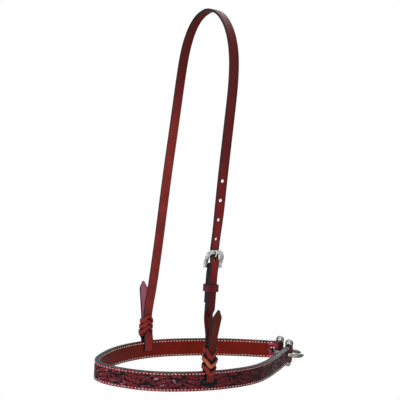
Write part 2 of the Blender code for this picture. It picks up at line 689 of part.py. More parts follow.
def turn_stitch_prism(stack, margin, depth_in, depth_out):
    """The U-shaped row as a prism on the inner face of the turned-back end."""
    _, along, out = stack
    start = stack_point(stack, -TURN_STITCH_TOP, TURN_LEVEL - TURN_THICKNESS / 2)
    bm = bmesh.new()
    outline = turn_stitch_outline(stack, margin)
    loops = [[bm.verts.new(start + along * a + ACROSS * b + out * depth) for a, b in outline]
             for depth in (-depth_out, depth_in)]
    bm.faces.new(loops[0])
    bm.faces.new(reversed(loops[1]))
    for i in range(len(outline)):
        j = (i + 1) % len(outline)
        bm.faces.new((loops[0][i], loops[0][j], loops[1][j], loops[1][i]))
    return bm


def make_buckle_strap(near, stack, materials):
    """Short strap that carries the buckle, with its knot and tail."""
    run, thicknesses = buckle_run(near, stack)
    bm = sweep(run, [near.across(p) for p in run], strap_sections(run, False, True, thicknesses))
    strap = place_object("buckle_strap", bm, materials["strap"])
    knot = knot_body("near_knot", near, NEAR_STANDING_SETS[0], NEAR_TAIL_SETS[0])
    apply_boolean(strap, knot, "UNION")
    _, along, out = stack
    bar = bar_centre(stack)
    reach_out = HEEL_BAR_RADIUS + GAP + SKIVED_THICKNESS
    sizes = (TONGUE_SLOT_WIDTH, SKIVE_START + reach_out + OVERRUN, 2 * reach_out + OVERRUN)
    middle = bar + along * (sizes[1] / 2 - SKIVE_START)
    apply_boolean(strap, box_cutter("tongue_slot", middle, (ACROSS, along, out), sizes))
    groove = place_object("turn_groove", turn_stitch_prism(stack, GAP, THREAD_DEPTH + GAP, OVERRUN))
    apply_boolean(strap, groove)
    thread = turn_stitch_prism(stack, 0, THREAD_DEPTH, 0)
    place_object("turn_stitching", thread, materials["thread"])


# Buckle and keeper

def frame_place(stack, across, rise):
    """Point in the middle of the curved frame, and the direction out of its face there."""
    _, along, out = stack
    share = min(max(rise / FRAME_RAMP, 0), 1)
    climb = TOP_BAR_LEVEL - BAR_LEVEL
    level = BAR_LEVEL + climb * share * share * (3 - 2 * share)
    slope = climb * 6 * share * (1 - share) / FRAME_RAMP
    return stack_point(stack, rise, level, across), (out - along * slope).normalized()


def frame_outline():
    """Middle of the frame as (across, rise) points: a horseshoe with a squarish top."""
    half = (FRAME_WIDTH - FRAME_BAR_WIDTH) / 2
    rise = FRAME_RISE - FRAME_SHOULDER
    power = 2 / FRAME_SQUARENESS
    top = []
    for i in range(15):
        turn = math.pi * i / 14
        across = math.copysign(abs(math.cos(turn)) ** power, math.cos(turn))
        top.append((half * across, FRAME_SHOULDER + rise * math.sin(turn) ** power))
    return [(half, -FRAME_HEEL), (half, 0), *top, (-half, 0), (-half, -FRAME_HEEL)]


def make_frame(stack, materials):
    """Horseshoe frame and its heel bar."""
    bar = bar_centre(stack)
    half = (FRAME_WIDTH - FRAME_BAR_WIDTH) / 2
    places = [frame_place(stack, a, b) for a, b in frame_outline()]
    bevel = FRAME_BAR_THICKNESS / 4
    a, b = FRAME_BAR_THICKNESS / 2, FRAME_BAR_WIDTH / 2
    section = [(-a, -b), (a - bevel, -b), (a, bevel - b), (a, b - bevel), (a - bevel, b), (-a, b)]
    bm = sweep([p for p, _ in places], [face for _, face in places], [section] * len(places))
    frame = place_object("buckle_frame", bm, materials["nickel"], bar)
    rod = tube_cutter("heel_bar", bar - ACROSS * half, bar + ACROSS * half, HEEL_BAR_RADIUS)
    apply_boolean(frame, rod, "UNION")


def make_tongue(stack, materials):
    """Flat wire bent round the heel bar, up through the hole and onto the top bar."""
    _, along, out = stack
    bar = bar_centre(stack)
    radius = HEEL_BAR_RADIUS + GAP + TONGUE_THICKNESS / 2
    eye = [math.radians(40 - 310 * i / 12) for i in range(13)]
    points = [bar + along * radius * math.cos(t) + out * radius * math.sin(t) for t in eye]
    points += [stack_point(stack, HEEL_BAR_DROP * rise, STRAP_THICKNESS * level)
               for rise, level in zip(TONGUE_RISE_SHARES, TONGUE_LEVEL_SHARES)]
    rest = TOP_BAR_LEVEL + FRAME_BAR_THICKNESS / 2 + GAP + TONGUE_THICKNESS / 2
    points.append(stack_point(stack, FRAME_RISE - FRAME_BAR_WIDTH / 2 - TONGUE_OVERHANG, rest))
    points.append(stack_point(stack, FRAME_RISE + TONGUE_OVERHANG, rest))
    points = points[:13] + smooth_run(points[12:], TONGUE_WIDTH)[1:]
    section = rectangle(TONGUE_WIDTH, TONGUE_THICKNESS)
    bm = sweep(points, [ACROSS] * len(points), [section] * len(points))
    place_object("buckle_tongue", bm, materials["nickel"], bar)


def make_keeper(stack, materials):
    """Leather loop round the stacked straps below the buckle."""
    centre, along, out = stack
    depth = STRAP_THICKNESS + GAP + STRAP_THICKNESS + GAP + TURN_THICKNESS
    middle = centre - along * KEEPER_DROP - out * (depth / 2 - STRAP_THICKNESS / 2)
    gap = KEEPER_CLEARANCE + KEEPER_THICKNESS / 2
    half_width, half_depth = STRAP_WIDTH / 2 + gap, depth / 2 + gap
    corner = KEEPER_THICKNESS / 2
    turns = [math.radians(t) for t in (0, 45, 90)]
    points = []
    for i, j, start in ((1, 1, 0), (-1, 1, 90), (-1, -1, 180), (1, -1, 270)):
        for turn in turns:
            angle = turn + math.radians(start)
            a = i * (half_width - corner) + corner * math.cos(angle)
            b = j * (half_depth - corner) + corner * math.sin(angle)
            points.append(middle + ACROSS * a + out * b)
    section = rectangle(KEEPER_HEIGHT, KEEPER_THICKNESS)
    bm = sweep(points, [along] * len(points), [section] * len(points), closed=True)
    place_object("keeper_loop", bm, materials["strap"], middle)


def main():
    for obj in list(bpy.data.objects):
        bpy.data.objects.remove(obj)
    materials = {name: make_material(name, values, 0) for name, values in LEATHERS.items()}
    materials["nickel"] = make_material("nickel", NICKEL, 1)
    middle = band_middle()
    sides = {"near": slot_side(middle, -1), "far": slot_side(middle, 1)}
    near = HangerSide(*sides["near"], -1)
    far = HangerSide(*sides["far"], 1)
    stack = stack_frame(near)
    outer, lining = make_plies(middle, materials)
    cut_ring_slots(outer, middle)
    cut_hanger_slots((outer, lining), sides)
    make_threads(middle, materials)
    make_pins(materials)
    make_ring(middle, materials)
    make_crown_strap(near, far, stack, materials)
    make_buckle_strap(near, stack, materials)
    make_frame(stack, materials)
    make_tongue(stack, materials)
    make_keeper(stack, materials)


main()
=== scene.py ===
import math

import bmesh
import bpy
import numpy as np
from mathutils import Matrix, Vector


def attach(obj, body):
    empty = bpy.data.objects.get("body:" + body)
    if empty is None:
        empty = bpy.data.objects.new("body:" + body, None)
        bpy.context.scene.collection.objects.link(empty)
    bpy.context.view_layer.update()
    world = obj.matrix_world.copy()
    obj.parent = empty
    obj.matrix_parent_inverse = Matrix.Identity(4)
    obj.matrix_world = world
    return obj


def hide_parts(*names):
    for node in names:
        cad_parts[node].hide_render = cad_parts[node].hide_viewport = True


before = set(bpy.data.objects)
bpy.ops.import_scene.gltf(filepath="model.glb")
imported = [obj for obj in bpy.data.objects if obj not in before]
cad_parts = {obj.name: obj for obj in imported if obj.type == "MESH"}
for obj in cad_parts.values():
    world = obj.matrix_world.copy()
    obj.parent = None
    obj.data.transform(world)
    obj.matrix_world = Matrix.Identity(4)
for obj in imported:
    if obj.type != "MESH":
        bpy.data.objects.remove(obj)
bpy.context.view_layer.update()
MM = 0.001


# Camera
# The photographer stood about 1.2 m away, in front of the near cheek and a little above the
# nose band, with a long lens held a few degrees out of level.
HANGER_DROP = 484.0
lean = math.radians(2.75)
hanger_up = np.array((math.sin(lean), 0, math.cos(lean)))
hanger_across = np.array((math.cos(lean), 0, -math.sin(lean)))
slot_axis = -hanger_up * HANGER_DROP * MM
photo_camera = bpy.data.cameras.new("photo_camera")
photo_camera.sensor_width = 36
photo_camera.lens = 83.863
photo_camera.clip_start = 0.05
camera_object = bpy.data.objects.new("photo_camera", photo_camera)
camera_right = (0.84209806, -0.53524135, 0.06623867)
camera_up = (-0.00498613, 0.11508622, 0.99334299)
camera_back = (-0.5393014, -0.83682248, 0.0942451)
camera_place = Vector(slot_axis) + Vector((-665.53, -1074.28, 348.32)) * MM
camera_turn = Matrix((camera_right, camera_up, camera_back)).transposed()
camera_object.matrix_world = Matrix.Translation(camera_place) @ camera_turn.to_4x4()
bpy.context.collection.objects.link(camera_object)
bpy.context.scene.camera = camera_object
bpy.context.scene.view_settings.view_transform = "Standard"


# Studio
# A wide white floor below the hanging noseband and white all round it, lit by a large soft
# box above, one in front, a small one on the left and a long one behind on the right.
class Value:
    """A number in a finish that can change over the surface; sums on it add Math nodes."""

    def __init__(self, finish, socket):
        self.finish = finish
        self.socket = socket

    def maths(self, operation, first, second=0.0):
        node = self.finish.node("Math", {"operation": operation}, {0: first, 1: second})
        return Value(self.finish, node.outputs[0])

    def __add__(self, other):
        return self.maths("ADD", self, other)

    def __radd__(self, other):
        return self.maths("ADD", other, self)

    def __sub__(self, other):
        return self.maths("SUBTRACT", self, other)

    def __rsub__(self, other):
        return self.maths("SUBTRACT", other, self)

    def __mul__(self, other):
        return self.maths("MULTIPLY", self, other)

    def __rmul__(self, other):
        return self.maths("MULTIPLY", other, self)

    def __abs__(self):
        return self.maths("ABSOLUTE", self)

    def fade(self, start, end):
        """0 below the start and 1 above the end, with a soft step between."""
        node = self.finish.node("MapRange", {"interpolation_type": "SMOOTHSTEP", "clamp": True},
                                {0: self, 1: start, 2: end, 3: 0.0, 4: 1.0})
        return Value(self.finish, node.outputs[0])

    def most(self, other):
        return self.maths("MAXIMUM", self, other)


class Nodes:
    """The nodes of one finish, or of the white room."""

    def __init__(self, owner):
        owner.use_nodes = True
        self.tree = owner.node_tree

    def node(self, kind, settings=None, inputs=None):
        node = self.tree.nodes.new("ShaderNode" + kind)
        for key, setting in (settings or {}).items():
            setattr(node, key, setting)
        for key, given in (inputs or {}).items():
            self.join(node.inputs[key], given)
        return node

    def join(self, socket, given):
        if isinstance(given, Value):
            given = given.socket
        if isinstance(given, bpy.types.NodeSocket):
            self.tree.links.new(given, socket)
        elif isinstance(given, tuple) and socket.type == "RGBA":
            socket.default_value = (*given, 1)
        else:
            socket.default_value = given

    def value(self, kind, settings=None, inputs=None, output=0):
        return Value(self, self.node(kind, settings, inputs).outputs[output])

    def seen(self):
        """1 for what shows in the picture, straight or by way of metal or glass."""
        rays = self.node("LightPath").outputs
        seen = Value(self, rays["Is Camera Ray"])
        for ray in ("Is Glossy Ray", "Is Transmission Ray"):
            seen = seen.most(Value(self, rays[ray]))
        return seen


class Finish(Nodes):
    """One finish of the noseband: a material made up from nodes on its Object coordinates."""

    def __init__(self, name):
        self.material = bpy.data.materials.new(name)
        super().__init__(self.material)
        self.shader = self.tree.nodes["Principled BSDF"]
        self.place = self.node("TexCoord").outputs["Object"]

    def noise(self, scale, detail, roughness=0.5):
        return self.value("TexNoise", {}, {"Vector": self.place, "Scale": scale, "Detail": detail,
                                           "Roughness": roughness})

    def cells(self, feature, scale):
        return self.value("TexVoronoi", {"feature": feature}, {"Vector": self.place, "Scale": scale})

    def painted(self, name):
        """A value kept in the points of the mesh."""
        return self.value("Attribute", {"attribute_name": name}, {}, 2)

    def reach(self, axis):
        """How far a point lies along x, y or z (0, 1 or 2), in metres."""
        return self.value("SeparateXYZ", {}, {0: self.place}, axis)

    def slope(self):
        """0 where the surface is seen squarely and 1 at its outline."""
        return self.value("LayerWeight", {}, {"Blend": 0.5}, 1)

    def mix(self, share, first, second):
        """Colour between two others."""
        settings = {"data_type": "RGBA", "clamp_factor": True}
        return self.node("Mix", settings, {0: share, 6: first, 7: second}).outputs[2]

    def give(self, **sockets):
        for key, given in sockets.items():
            self.join(self.shader.inputs[key.replace("_", " ")], given)

    def roughen(self, height, distance=0.00012):
        """Bump of a height in shares of a distance in metres."""
        bump = self.node("Bump", {}, {"Strength": 1.0, "Distance": distance, "Height": height})
        self.join(self.shader.inputs["Normal"], bump.outputs[0])


def as_mesh(bm, name):
    mesh = bpy.data.meshes.new(name)
    bm.to_mesh(mesh)
    bm.free()
    return mesh


def as_object(bm, name):
    made = bpy.data.objects.new(name, as_mesh(bm, name))
    bpy.context.collection.objects.link(made)
    return made


def set_piece(bm, name, finishes, body=None, replaces=(), smooth=50):
    """Turn a finished mesh into a piece of the scene that rides on a body."""
    piece = as_object(bm, name)
    for finish in finishes:
        piece.data.materials.append(finish.material)
    piece.data.shade_smooth()
    piece.data.set_sharp_from_angle(angle=math.radians(smooth))
    if body:
        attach(piece, body)
    if replaces:
        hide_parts(*replaces)
    return piece


floor_finish = Finish("white_floor")
floor_finish.give(Base_Color=(0.86, 0.86, 0.86), Roughness=0.9)
floor_glow = floor_finish.node("Emission", {}, {"Color": (1, 1, 1), "Strength": 1.0})
floor_reach = floor_finish.value("VectorMath", {"operation": "LENGTH"}, {0: floor_finish.place}, 1)
floor_white = floor_finish.seen() * (0.95 + 0.05 * floor_reach.fade(0.4, 1.4))
floor_mix = floor_finish.node("MixShader", {}, {0: floor_white, 1: floor_finish.shader.outputs[0],
                                                2: floor_glow.outputs[0]})
floor_finish.join(floor_finish.tree.nodes["Material Output"].inputs[0], floor_mix.outputs[0])
bm = bmesh.new()
bmesh.ops.create_circle(bm, cap_ends=True, segments=96, radius=9)
bmesh.ops.translate(bm, verts=bm.verts, vec=(0, 0, -0.78))
studio_floor = set_piece(bm, "studio_floor", [floor_finish])

world = bpy.data.worlds.new("white_room")
bpy.context.scene.world = world
room = Nodes(world)
room_light = room.tree.nodes["Background"]
room.join(room_light.inputs["Color"], (1, 1, 1))
room.join(room_light.inputs["Strength"], 0.42)
room_white = room.node("Background", {}, {"Color": (1, 1, 1), "Strength": 1.0})
room_mix = room.node("MixShader", {}, {0: room.seen(), 1: room_light.outputs[0], 2: room_white.outputs[0]})
room.join(room.tree.nodes["World Output"].inputs[0], room_mix.outputs[0])


def hang_light(name, place, aim, size, power):
    """Soft box at a place, turned towards what it lights."""
    lamp = bpy.data.lights.new(name, "AREA")
    lamp.shape = "RECTANGLE"
    lamp.size, lamp.size_y = size
    lamp.energy = power
    holder = bpy.data.objects.new(name, lamp)
    holder.location = place
    holder.rotation_euler = (Vector(aim) - Vector(place)).to_track_quat("-Z", "Y").to_euler()
    bpy.context.collection.objects.link(holder)


hang_light("top_box", (0.1, 0.2, 1.5), (0, 0, -0.35), (1.8, 1.8), 26)
hang_light("front_box", (-1.2, -2.0, 0.5), (0, 0, -0.3), (1.0, 1.4), 26)
hang_light("side_box", (-1.7, -0.1, 0.1), (-0.1, 0, -0.45), (0.5, 0.9), 9)
hang_light("back_box", (1.4, 1.0, 0.3), (0, 0, -0.3), (0.8, 1.8), 14)


# Tooled outer ply of the nose band
# One strip of skirting leather, cut flat, tooled with vines, leaves and scrolls, dyed, and
# its background painted black. Each end goes round a pin and back along the inside.
class LeatherPath:
    """A line that flat-cut leather is laid along, with the direction of its width all the way."""

    def __init__(self, points, widths):
        self.points = np.array(points, dtype=float)
        steps = np.linalg.norm(np.diff(self.points, axis=0), axis=1)
        self.places = np.concatenate([[0], np.cumsum(steps)])
        self.length = self.places[-1]
        ways = np.gradient(self.points, self.places, axis=0)
        self.ways = ways / np.linalg.norm(ways, axis=1)[:, None]
        widths = np.broadcast_to(np.array(widths, dtype=float), self.points.shape)
        widths = widths - self.ways * (widths * self.ways).sum(axis=1)[:, None]
        self.widths = widths / np.linalg.norm(widths, axis=1)[:, None]
        self.outs = np.cross(self.widths, self.ways)

    def at(self, places, table):
        return np.stack([np.interp(places, self.places, table[:, i]) for i in range(3)], axis=1)

    def moved(self, out, cut):
        """The path set outwards, with a length cut off each end."""
        places = np.append(np.arange(cut, self.length - cut, 1.0 * MM), self.length - cut)
        return self.at(places, self.points) + self.at(places, self.outs) * out

    def lay(self, bm, closed=True):
        """Bend a flat mesh (along, across, out) onto the path, its faces outwards."""
        verts = list(bm.verts)
        flat = np.array([vert.co[:] for vert in verts])
        places = np.clip(flat[:, 0], 0, self.length)
        laid = self.at(places, self.points) + self.at(places, self.ways) * (flat[:, 0] - places)[:, None]
        laid += self.at(places, self.widths) * flat[:, 1, None]
        laid += self.at(places, self.outs) * flat[:, 2, None]
        for vert, co in zip(verts, laid):
            vert.co = co
        bmesh.ops.reverse_faces(bm, faces=bm.faces)
        bm.normal_update()
        if closed:
            bmesh.ops.recalc_face_normals(bm, faces=bm.faces)


def curve_through(points, step):
    """Evenly spaced points on a natural cubic spline through the given ones."""
    table = np.array(points, dtype=float)
    spans = np.linalg.norm(np.diff(table, axis=0), axis=1)
    knots = np.concatenate([[0], np.cumsum(spans)])
    slopes = np.diff(table, axis=0) / spans[:, None]
    system = np.eye(len(table))
    bends = np.zeros_like(table)
    for i in range(1, len(table) - 1):
        system[i, i - 1:i + 2] = spans[i - 1], 2 * (spans[i - 1] + spans[i]), spans[i]
        bends[i] = 6 * (slopes[i] - slopes[i - 1])
    bends = np.linalg.solve(system, bends)
    places = np.linspace(0, knots[-1], max(2, round(knots[-1] / step) + 1))
    spot = np.clip(np.searchsorted(knots, places, side="right") - 1, 0, len(spans) - 1)
    span = spans[spot][:, None]
    a = (knots[spot + 1] - places)[:, None] / span
    b = 1 - a
    curve = (a ** 3 - a) * bends[spot] + (b ** 3 - b) * bends[spot + 1]
    return a * table[spot] + b * table[spot + 1] + curve * span ** 2 / 6


BAND_HEIGHT = 25.4 * MM
PLY = 2.85 * MM
PLY_GAP = 0.3 * MM
FOLD_RADIUS = 4.525 * MM
PIN_REACH, PIN_OFFSET = 193.9, 11.2
NOSE_REACH, NEAR_BULGE, FAR_BULGE = 115.5, 91, 76
vertical = (0, 0, 1)
near_side = [(-0.848, 0.437), (-0.59, 0.727), (-0.306, 0.882), (-0.02, 0.971), (0.176, 1.0),
             (0.405, 0.936), (0.655, 0.659)]
far_side = [(-0.778, 0.48), (-0.515, 0.762), (-0.264, 0.914), (-0.018, 0.988), (0.145, 0.989),
            (0.328, 0.907), (0.585, 0.704)]


def band_spot(share, bulge):
    """Point of the band's middle from its share of the reach and its bulge in millimetres."""
    return slot_axis + np.array((share * (PIN_REACH if share > 0 else NOSE_REACH), bulge, 0)) * MM


near_pin = slot_axis + np.array((PIN_REACH, -PIN_OFFSET, 0)) * MM
far_pin = slot_axis + np.array((PIN_REACH, PIN_OFFSET, 0)) * MM
band_turns = [near_pin, *[band_spot(x, -NEAR_BULGE * y) for x, y in reversed(near_side)], band_spot(-1, 0),
              *[band_spot(x, FAR_BULGE * y) for x, y in far_side], far_pin]
band_middle = LeatherPath(curve_through(band_turns, 1 * MM), vertical)


def fold_round(pin, first, last, turn):
    """The outer ply's middle round a pin, from one point to another."""
    turns = []
    for point, side in ((first, -turn), (last, turn)):
        away = point - pin
        turns.append(math.atan2(away[1], away[0]) + side * math.acos(FOLD_RADIUS / np.linalg.norm(away)))
    swept = 2 * math.pi - (turn * (turns[1] - turns[0])) % (2 * math.pi)
    angles = turns[0] - turn * np.linspace(0, swept, 15)
    return [pin + FOLD_RADIUS * np.array((math.cos(t), math.sin(t), 0)) for t in angles]


ply_out = (PLY + PLY_GAP) / 2
outside = band_middle.moved(ply_out, 12 * MM)
inside = band_middle.moved(-ply_out, 12 * MM)
flap_ends = band_middle.moved(-ply_out, 18 * MM)
outer_turns = [flap_ends[0], inside[0], *fold_round(near_pin, inside[0], outside[0], 1),
               *outside[0:-1:10], outside[-1],
               *reversed(fold_round(far_pin, inside[-1], outside[-1], -1)), inside[-1], flap_ends[-1]]
outer_path = LeatherPath(curve_through(outer_turns, 0.6 * MM), vertical)


def spans_where(path, wanted):
    """Lengths of a path, as (start, end), over which a condition holds."""
    marks = np.flatnonzero(np.diff(np.concatenate([[0], wanted.astype(int), [0]])))
    return [(path.places[a], path.places[b - 1]) for a, b in zip(marks[::2], marks[1::2])]


def hanger_slots(path):
    """Where a path passes the two hanger slots, as (place along it, point)."""
    crossing = np.flatnonzero(np.diff(np.sign(path.points[:, 0] - slot_axis[0])))
    return [(path.places[i], path.points[i]) for i in crossing]


RING_SLOT_HALF = 3.8 * MM
STRAP_SLOT_HALF = 2.2 * MM
STRAP_SLOT_REACH = 6.9 * MM


def strap_slots(path):
    """The two hanger slots of a ply, as (start, end, half height)."""
    return [(s - STRAP_SLOT_REACH, s + STRAP_SLOT_REACH, STRAP_SLOT_HALF) for s, _ in hanger_slots(path)]


slots = []
for pin, inner in ((near_pin, band_middle.points[12]), (far_pin, band_middle.points[-13])):
    leg = (inner - pin) / np.linalg.norm(inner - pin)
    depth = (outer_path.points - pin) @ leg
    near_it = np.linalg.norm(outer_path.points - pin, axis=1) < 20 * MM
    flap, front = [spans_where(outer_path, near_it & (depth > low * MM) & (depth < high * MM))
                   for low, high in ((6.1, 14.5), (5.0, 13.8))]
    spans = (flap[0], front[1]) if pin is near_pin else (front[0], flap[1])
    slots += [(a, b, RING_SLOT_HALF) for a, b in spans]
slots += strap_slots(outer_path)


def lines_with(start, end, step, marks):
    """Grid lines a step apart, with the nearest ones moved onto the marks."""
    lines = np.linspace(start, end, round((end - start) / step) + 1)
    for mark in marks:
        lines[np.abs(lines - mark).argmin()] = mark
    return lines


def cut_sheet(alongs, acrosses, openings):
    """Flat leather as a grid with lines at the given places, and its slots cut out."""
    bm = bmesh.new()
    bmesh.ops.create_grid(bm, x_segments=len(alongs) - 1, y_segments=len(acrosses) - 1, size=1)
    for vert in bm.verts:
        i = round((vert.co.x + 1) / 2 * (len(alongs) - 1))
        j = round((vert.co.y + 1) / 2 * (len(acrosses) - 1))
        vert.co = (alongs[i], acrosses[j], 0)
    inside_slot = []
    for face in bm.faces:
        middle = face.calc_center_median()
        if any(a < middle.x < b and abs(middle.y) < half for a, b, half in openings):
            inside_slot.append(face)
    bmesh.ops.delete(bm, geom=inside_slot, context="FACES")
    return bm


SKIN = 1.485 * MM
STITCH_LEVEL = 10.3
HALF_BAND = 12.7
slot_marks = [mark for a, b, _ in slots for mark in (a, b)]
slot_levels = (-RING_SLOT_HALF, -STRAP_SLOT_HALF, STRAP_SLOT_HALF, RING_SLOT_HALF)
alongs = lines_with(0, outer_path.length, 0.55 * MM, slot_marks)
acrosses = lines_with(-BAND_HEIGHT / 2, BAND_HEIGHT / 2, 0.5 * MM, slot_levels)
bm = cut_sheet(alongs, acrosses, slots)
face_start = slots[1][1] + 0.8 * MM
face_end = outer_path.length - face_start


class Carving:
    """Level of the tooled face over points in millimetres: 0 is background, 1 is uncut leather."""

    def __init__(self, x, y):
        self.x, self.y = x, y
        self.level = np.zeros(len(x))

    def stroke(self, spine, half_widths, lobes=0, veins=True):
        """Lay one leaf or stem along a line over what is there, with a cut all round it."""
        spine = np.array(spine)
        lows, highs = spine.min(axis=0) - 5, spine.max(axis=0) + 5
        level_with = (self.y > lows[1]) & (self.y < highs[1])
        spot = np.flatnonzero((self.x > lows[0]) & (self.x < highs[0]) & level_with)
        if not len(spot):
            return
        points = np.stack([self.x[spot], self.y[spot]], axis=1)
        best = np.full(len(spot), 99.0)
        share = np.zeros(len(spot))
        count = len(spine) - 1
        for i in range(count):
            way = spine[i + 1] - spine[i]
            away = points - spine[i]
            along = np.clip(away @ way / (way @ way), 0, 1)
            gap = away - along[:, None] * way
            reach = np.hypot(gap[:, 0], gap[:, 1])
            closer = reach < best
            best[closer] = reach[closer]
            share[closer] = (i + along[closer]) / count
        half = np.interp(share, np.linspace(0, 1, len(half_widths)), half_widths)
        if lobes:
            half = half * (1 - 0.24 * np.abs(np.cos(math.pi * lobes * share)))
        inside = half - best
        rise = 1 - 0.22 * np.clip(best / np.maximum(half, 0.1), 0, 1) ** 2
        if veins:
            rise = rise - 0.75 * np.exp(-(best / (0.34 * (1.15 - share))) ** 2) * (share < 0.9)
        if lobes:
            slant = np.abs(np.sin(math.pi * (lobes * share - 0.16 * best)))
            nick = np.exp(-(slant / 0.17) ** 2) * np.clip(inside / 0.6, 0, 1) * (best > 0.35)
            rise = rise - 0.42 * nick
        rise = rise * np.clip(0.2 + inside / 0.55, 0, 1)
        level = self.level[spot]
        edge = (inside <= 0) & (inside > -0.36)
        level[edge] = np.minimum(level[edge], 0.05)
        level[inside > 0] = rise[inside > 0]
        self.level[spot] = level

    def leaf(self, root, bend, tip, width, lobes=3):
        """Leaf that leaves its stem at the root and bends towards its tip."""
        root, bend, tip = np.array(root), np.array(bend), np.array(tip)
        shares = np.linspace(0, 1, 15)[:, None]
        spine = (1 - shares) ** 2 * root + 2 * shares * (1 - shares) * bend + shares ** 2 * tip
        swell = [0.35, 0.7, 0.92, 1.0, 0.96, 0.84, 0.62, 0.34, 0.05]
        self.stroke(spine, [width * s for s in swell], lobes)

    def scroll(self, x, y, size, start, turn, width):
        """Leaf that winds in on itself and ends in a bud."""
        turns = np.linspace(0, 1, 26)
        angles = np.radians(start + turn * turns)
        reach = size * (1 - 0.72 * turns ** 0.9)
        spine = np.stack([x + reach * np.cos(angles), y + reach * np.sin(angles)], axis=1)
        self.stroke(spine, [width * s for s in (0.5, 0.85, 1.0, 0.95, 0.85, 0.7, 0.55, 0.5)], 5)
        self.stroke([spine[-1], spine[-1] + (0.1, 0)], [width * 0.62, width * 0.62], 0, False)


def new_verts(made):
    """The points that an extrusion made."""
    return [part for part in made["geom"] if isinstance(part, bmesh.types.BMVert)]


def paint(bm, **layers):
    """Keep values in the points of a mesh, under the names that its finish reads."""
    for name, values in layers.items():
        layer = bm.verts.layers.float.new(name)
        for vert, value in zip(bm.verts, values):
            vert[layer] = value


def join_to(whole, part):
    mesh = as_mesh(part, "part")
    whole.from_mesh(mesh)
    bpy.data.meshes.remove(mesh)


def round_edge(away):
    """Rounding near a ply's edge, and how far its face and stitch groove are sunk, in millimetres."""
    rounding = np.clip(away - 11.7, 0, 1)
    groove = 0.5 * np.clip(1.5 - np.abs(away - STITCH_LEVEL) / 0.55, 0, 1)
    return rounding, 1 - np.sqrt(1 - (rounding * 0.98) ** 2) + groove


flat = np.array([vert.co[:] for vert in bm.verts]) / MM
x, y = flat[:, 0], flat[:, 1]
away = np.abs(y)
on_face = (x > face_start / MM) & (x < face_end / MM)
tooled = on_face & (away < 8.7)
middle_place = outer_path.length / MM / 2
stretch = 1.75
repeat = 46.0
work = Carving(middle_place + (x[tooled] - middle_place) / stretch, y[tooled])
count = math.ceil(middle_place / stretch / repeat) + 1
for i in range(-count, count + 1):
    for half_turn, flip in ((0.0, 1), (repeat / 2, -1)):
        home = middle_place + i * repeat + half_turn + repeat / 4
        vine = [(home - 17.25 + 1.15 * k, -6.0 * math.cos(math.pi * k / 20) * flip) for k in range(21)]
        work.stroke(vine, [2.0, 2.3, 2.3, 2.0], 7)
        for root, bend, tip, width, lobes in (
                ((-20, 8.3), (-13, 8.8), (-4, 7.4), 2.3, 3),
                ((-24, -8.2), (-14, -9.0), (-4, -8.0), 2.4, 4),
                ((-19.5, -2.6), (-15, -6.4), (-7.6, -7.6), 2.7, 3),
                ((-22, 4.0), (-14, -0.2), (-7.8, -4.6), 2.9, 4),
                ((-21, 7.6), (-11.5, 7.4), (-6.4, -1.0), 2.9, 4),
                ((-11, 8.6), (-6.5, 8.2), (-4.8, 3.8), 2.0, 2),
                ((3.0, -8.4), (9.0, -7.8), (12.5, -3.2), 2.4, 3),
                ((4.0, 8.4), (9.0, 6.8), (10.4, 0.8), 2.5, 3)):
            work.leaf(*[(home + dx, dy * flip) for dx, dy in (root, bend, tip)], width, lobes)
        work.scroll(home, 0.3 * flip, 6.1, 205 * flip, -400 * flip, 2.7)
        work.leaf((home - 7.6, -5.0 * flip), (home - 1.0, -9.0 * flip), (home + 6.2, -5.2 * flip), 2.2)
        work.leaf((home + 3.2, -2.2 * flip), (home - 0.4, -3.4 * flip), (home - 2.8, 0.2 * flip), 1.6, 0)
relief = np.ones(len(x))
relief[tooled] = work.level
for middle, _ in hanger_slots(outer_path):
    clear = tooled & (((x - middle / MM) / 12.5) ** 2 + ((y + 1.0) / 6.0) ** 2 < 1)
    relief[clear] = np.minimum(relief[clear], 0.03)
edge_round, edge_sunk = round_edge(away)
border_cut = np.exp(-((away - 8.9) / 0.28) ** 2) * on_face
turned_back = np.clip((slots[0][1] / MM + 4 - np.minimum(x, outer_path.length / MM - x)) / 3.0, 0, 1)
paint(bm, tooling=relief - 0.6 * border_cut, edge=edge_round, across=away / HALF_BAND, turned=turned_back)
for vert, depth in zip(bm.verts, (1 - relief) * 0.85 + edge_sunk + 0.3 * border_cut):
    vert.co.z = -depth * MM
edge_layer = bm.verts.layers.float["edge"]
rim = bmesh.ops.extrude_edge_only(bm, edges=[edge for edge in bm.edges if edge.is_boundary])
for vert in new_verts(rim):
    vert.co.z = -SKIN
    vert[edge_layer] = 1
bmesh.ops.translate(bm, verts=bm.verts, vec=(0, 0, PLY / 2))
outer_path.lay(bm, closed=False)

core_levels = np.array((-BAND_HEIGHT / 2, *slot_levels, BAND_HEIGHT / 2))
core = cut_sheet(lines_with(0, outer_path.length, 3 * MM, slot_marks), core_levels, slots)
core_back = bmesh.ops.extrude_face_region(core, geom=core.faces[:], use_keep_orig=True)
for vert in new_verts(core_back):
    vert.co.z = SKIN - PLY
bmesh.ops.translate(core, verts=core.verts, vec=(0, 0, PLY / 2 - SKIN))
outer_path.lay(core)
paint(core, edge=[1] * len(core.verts))
join_to(bm, core)


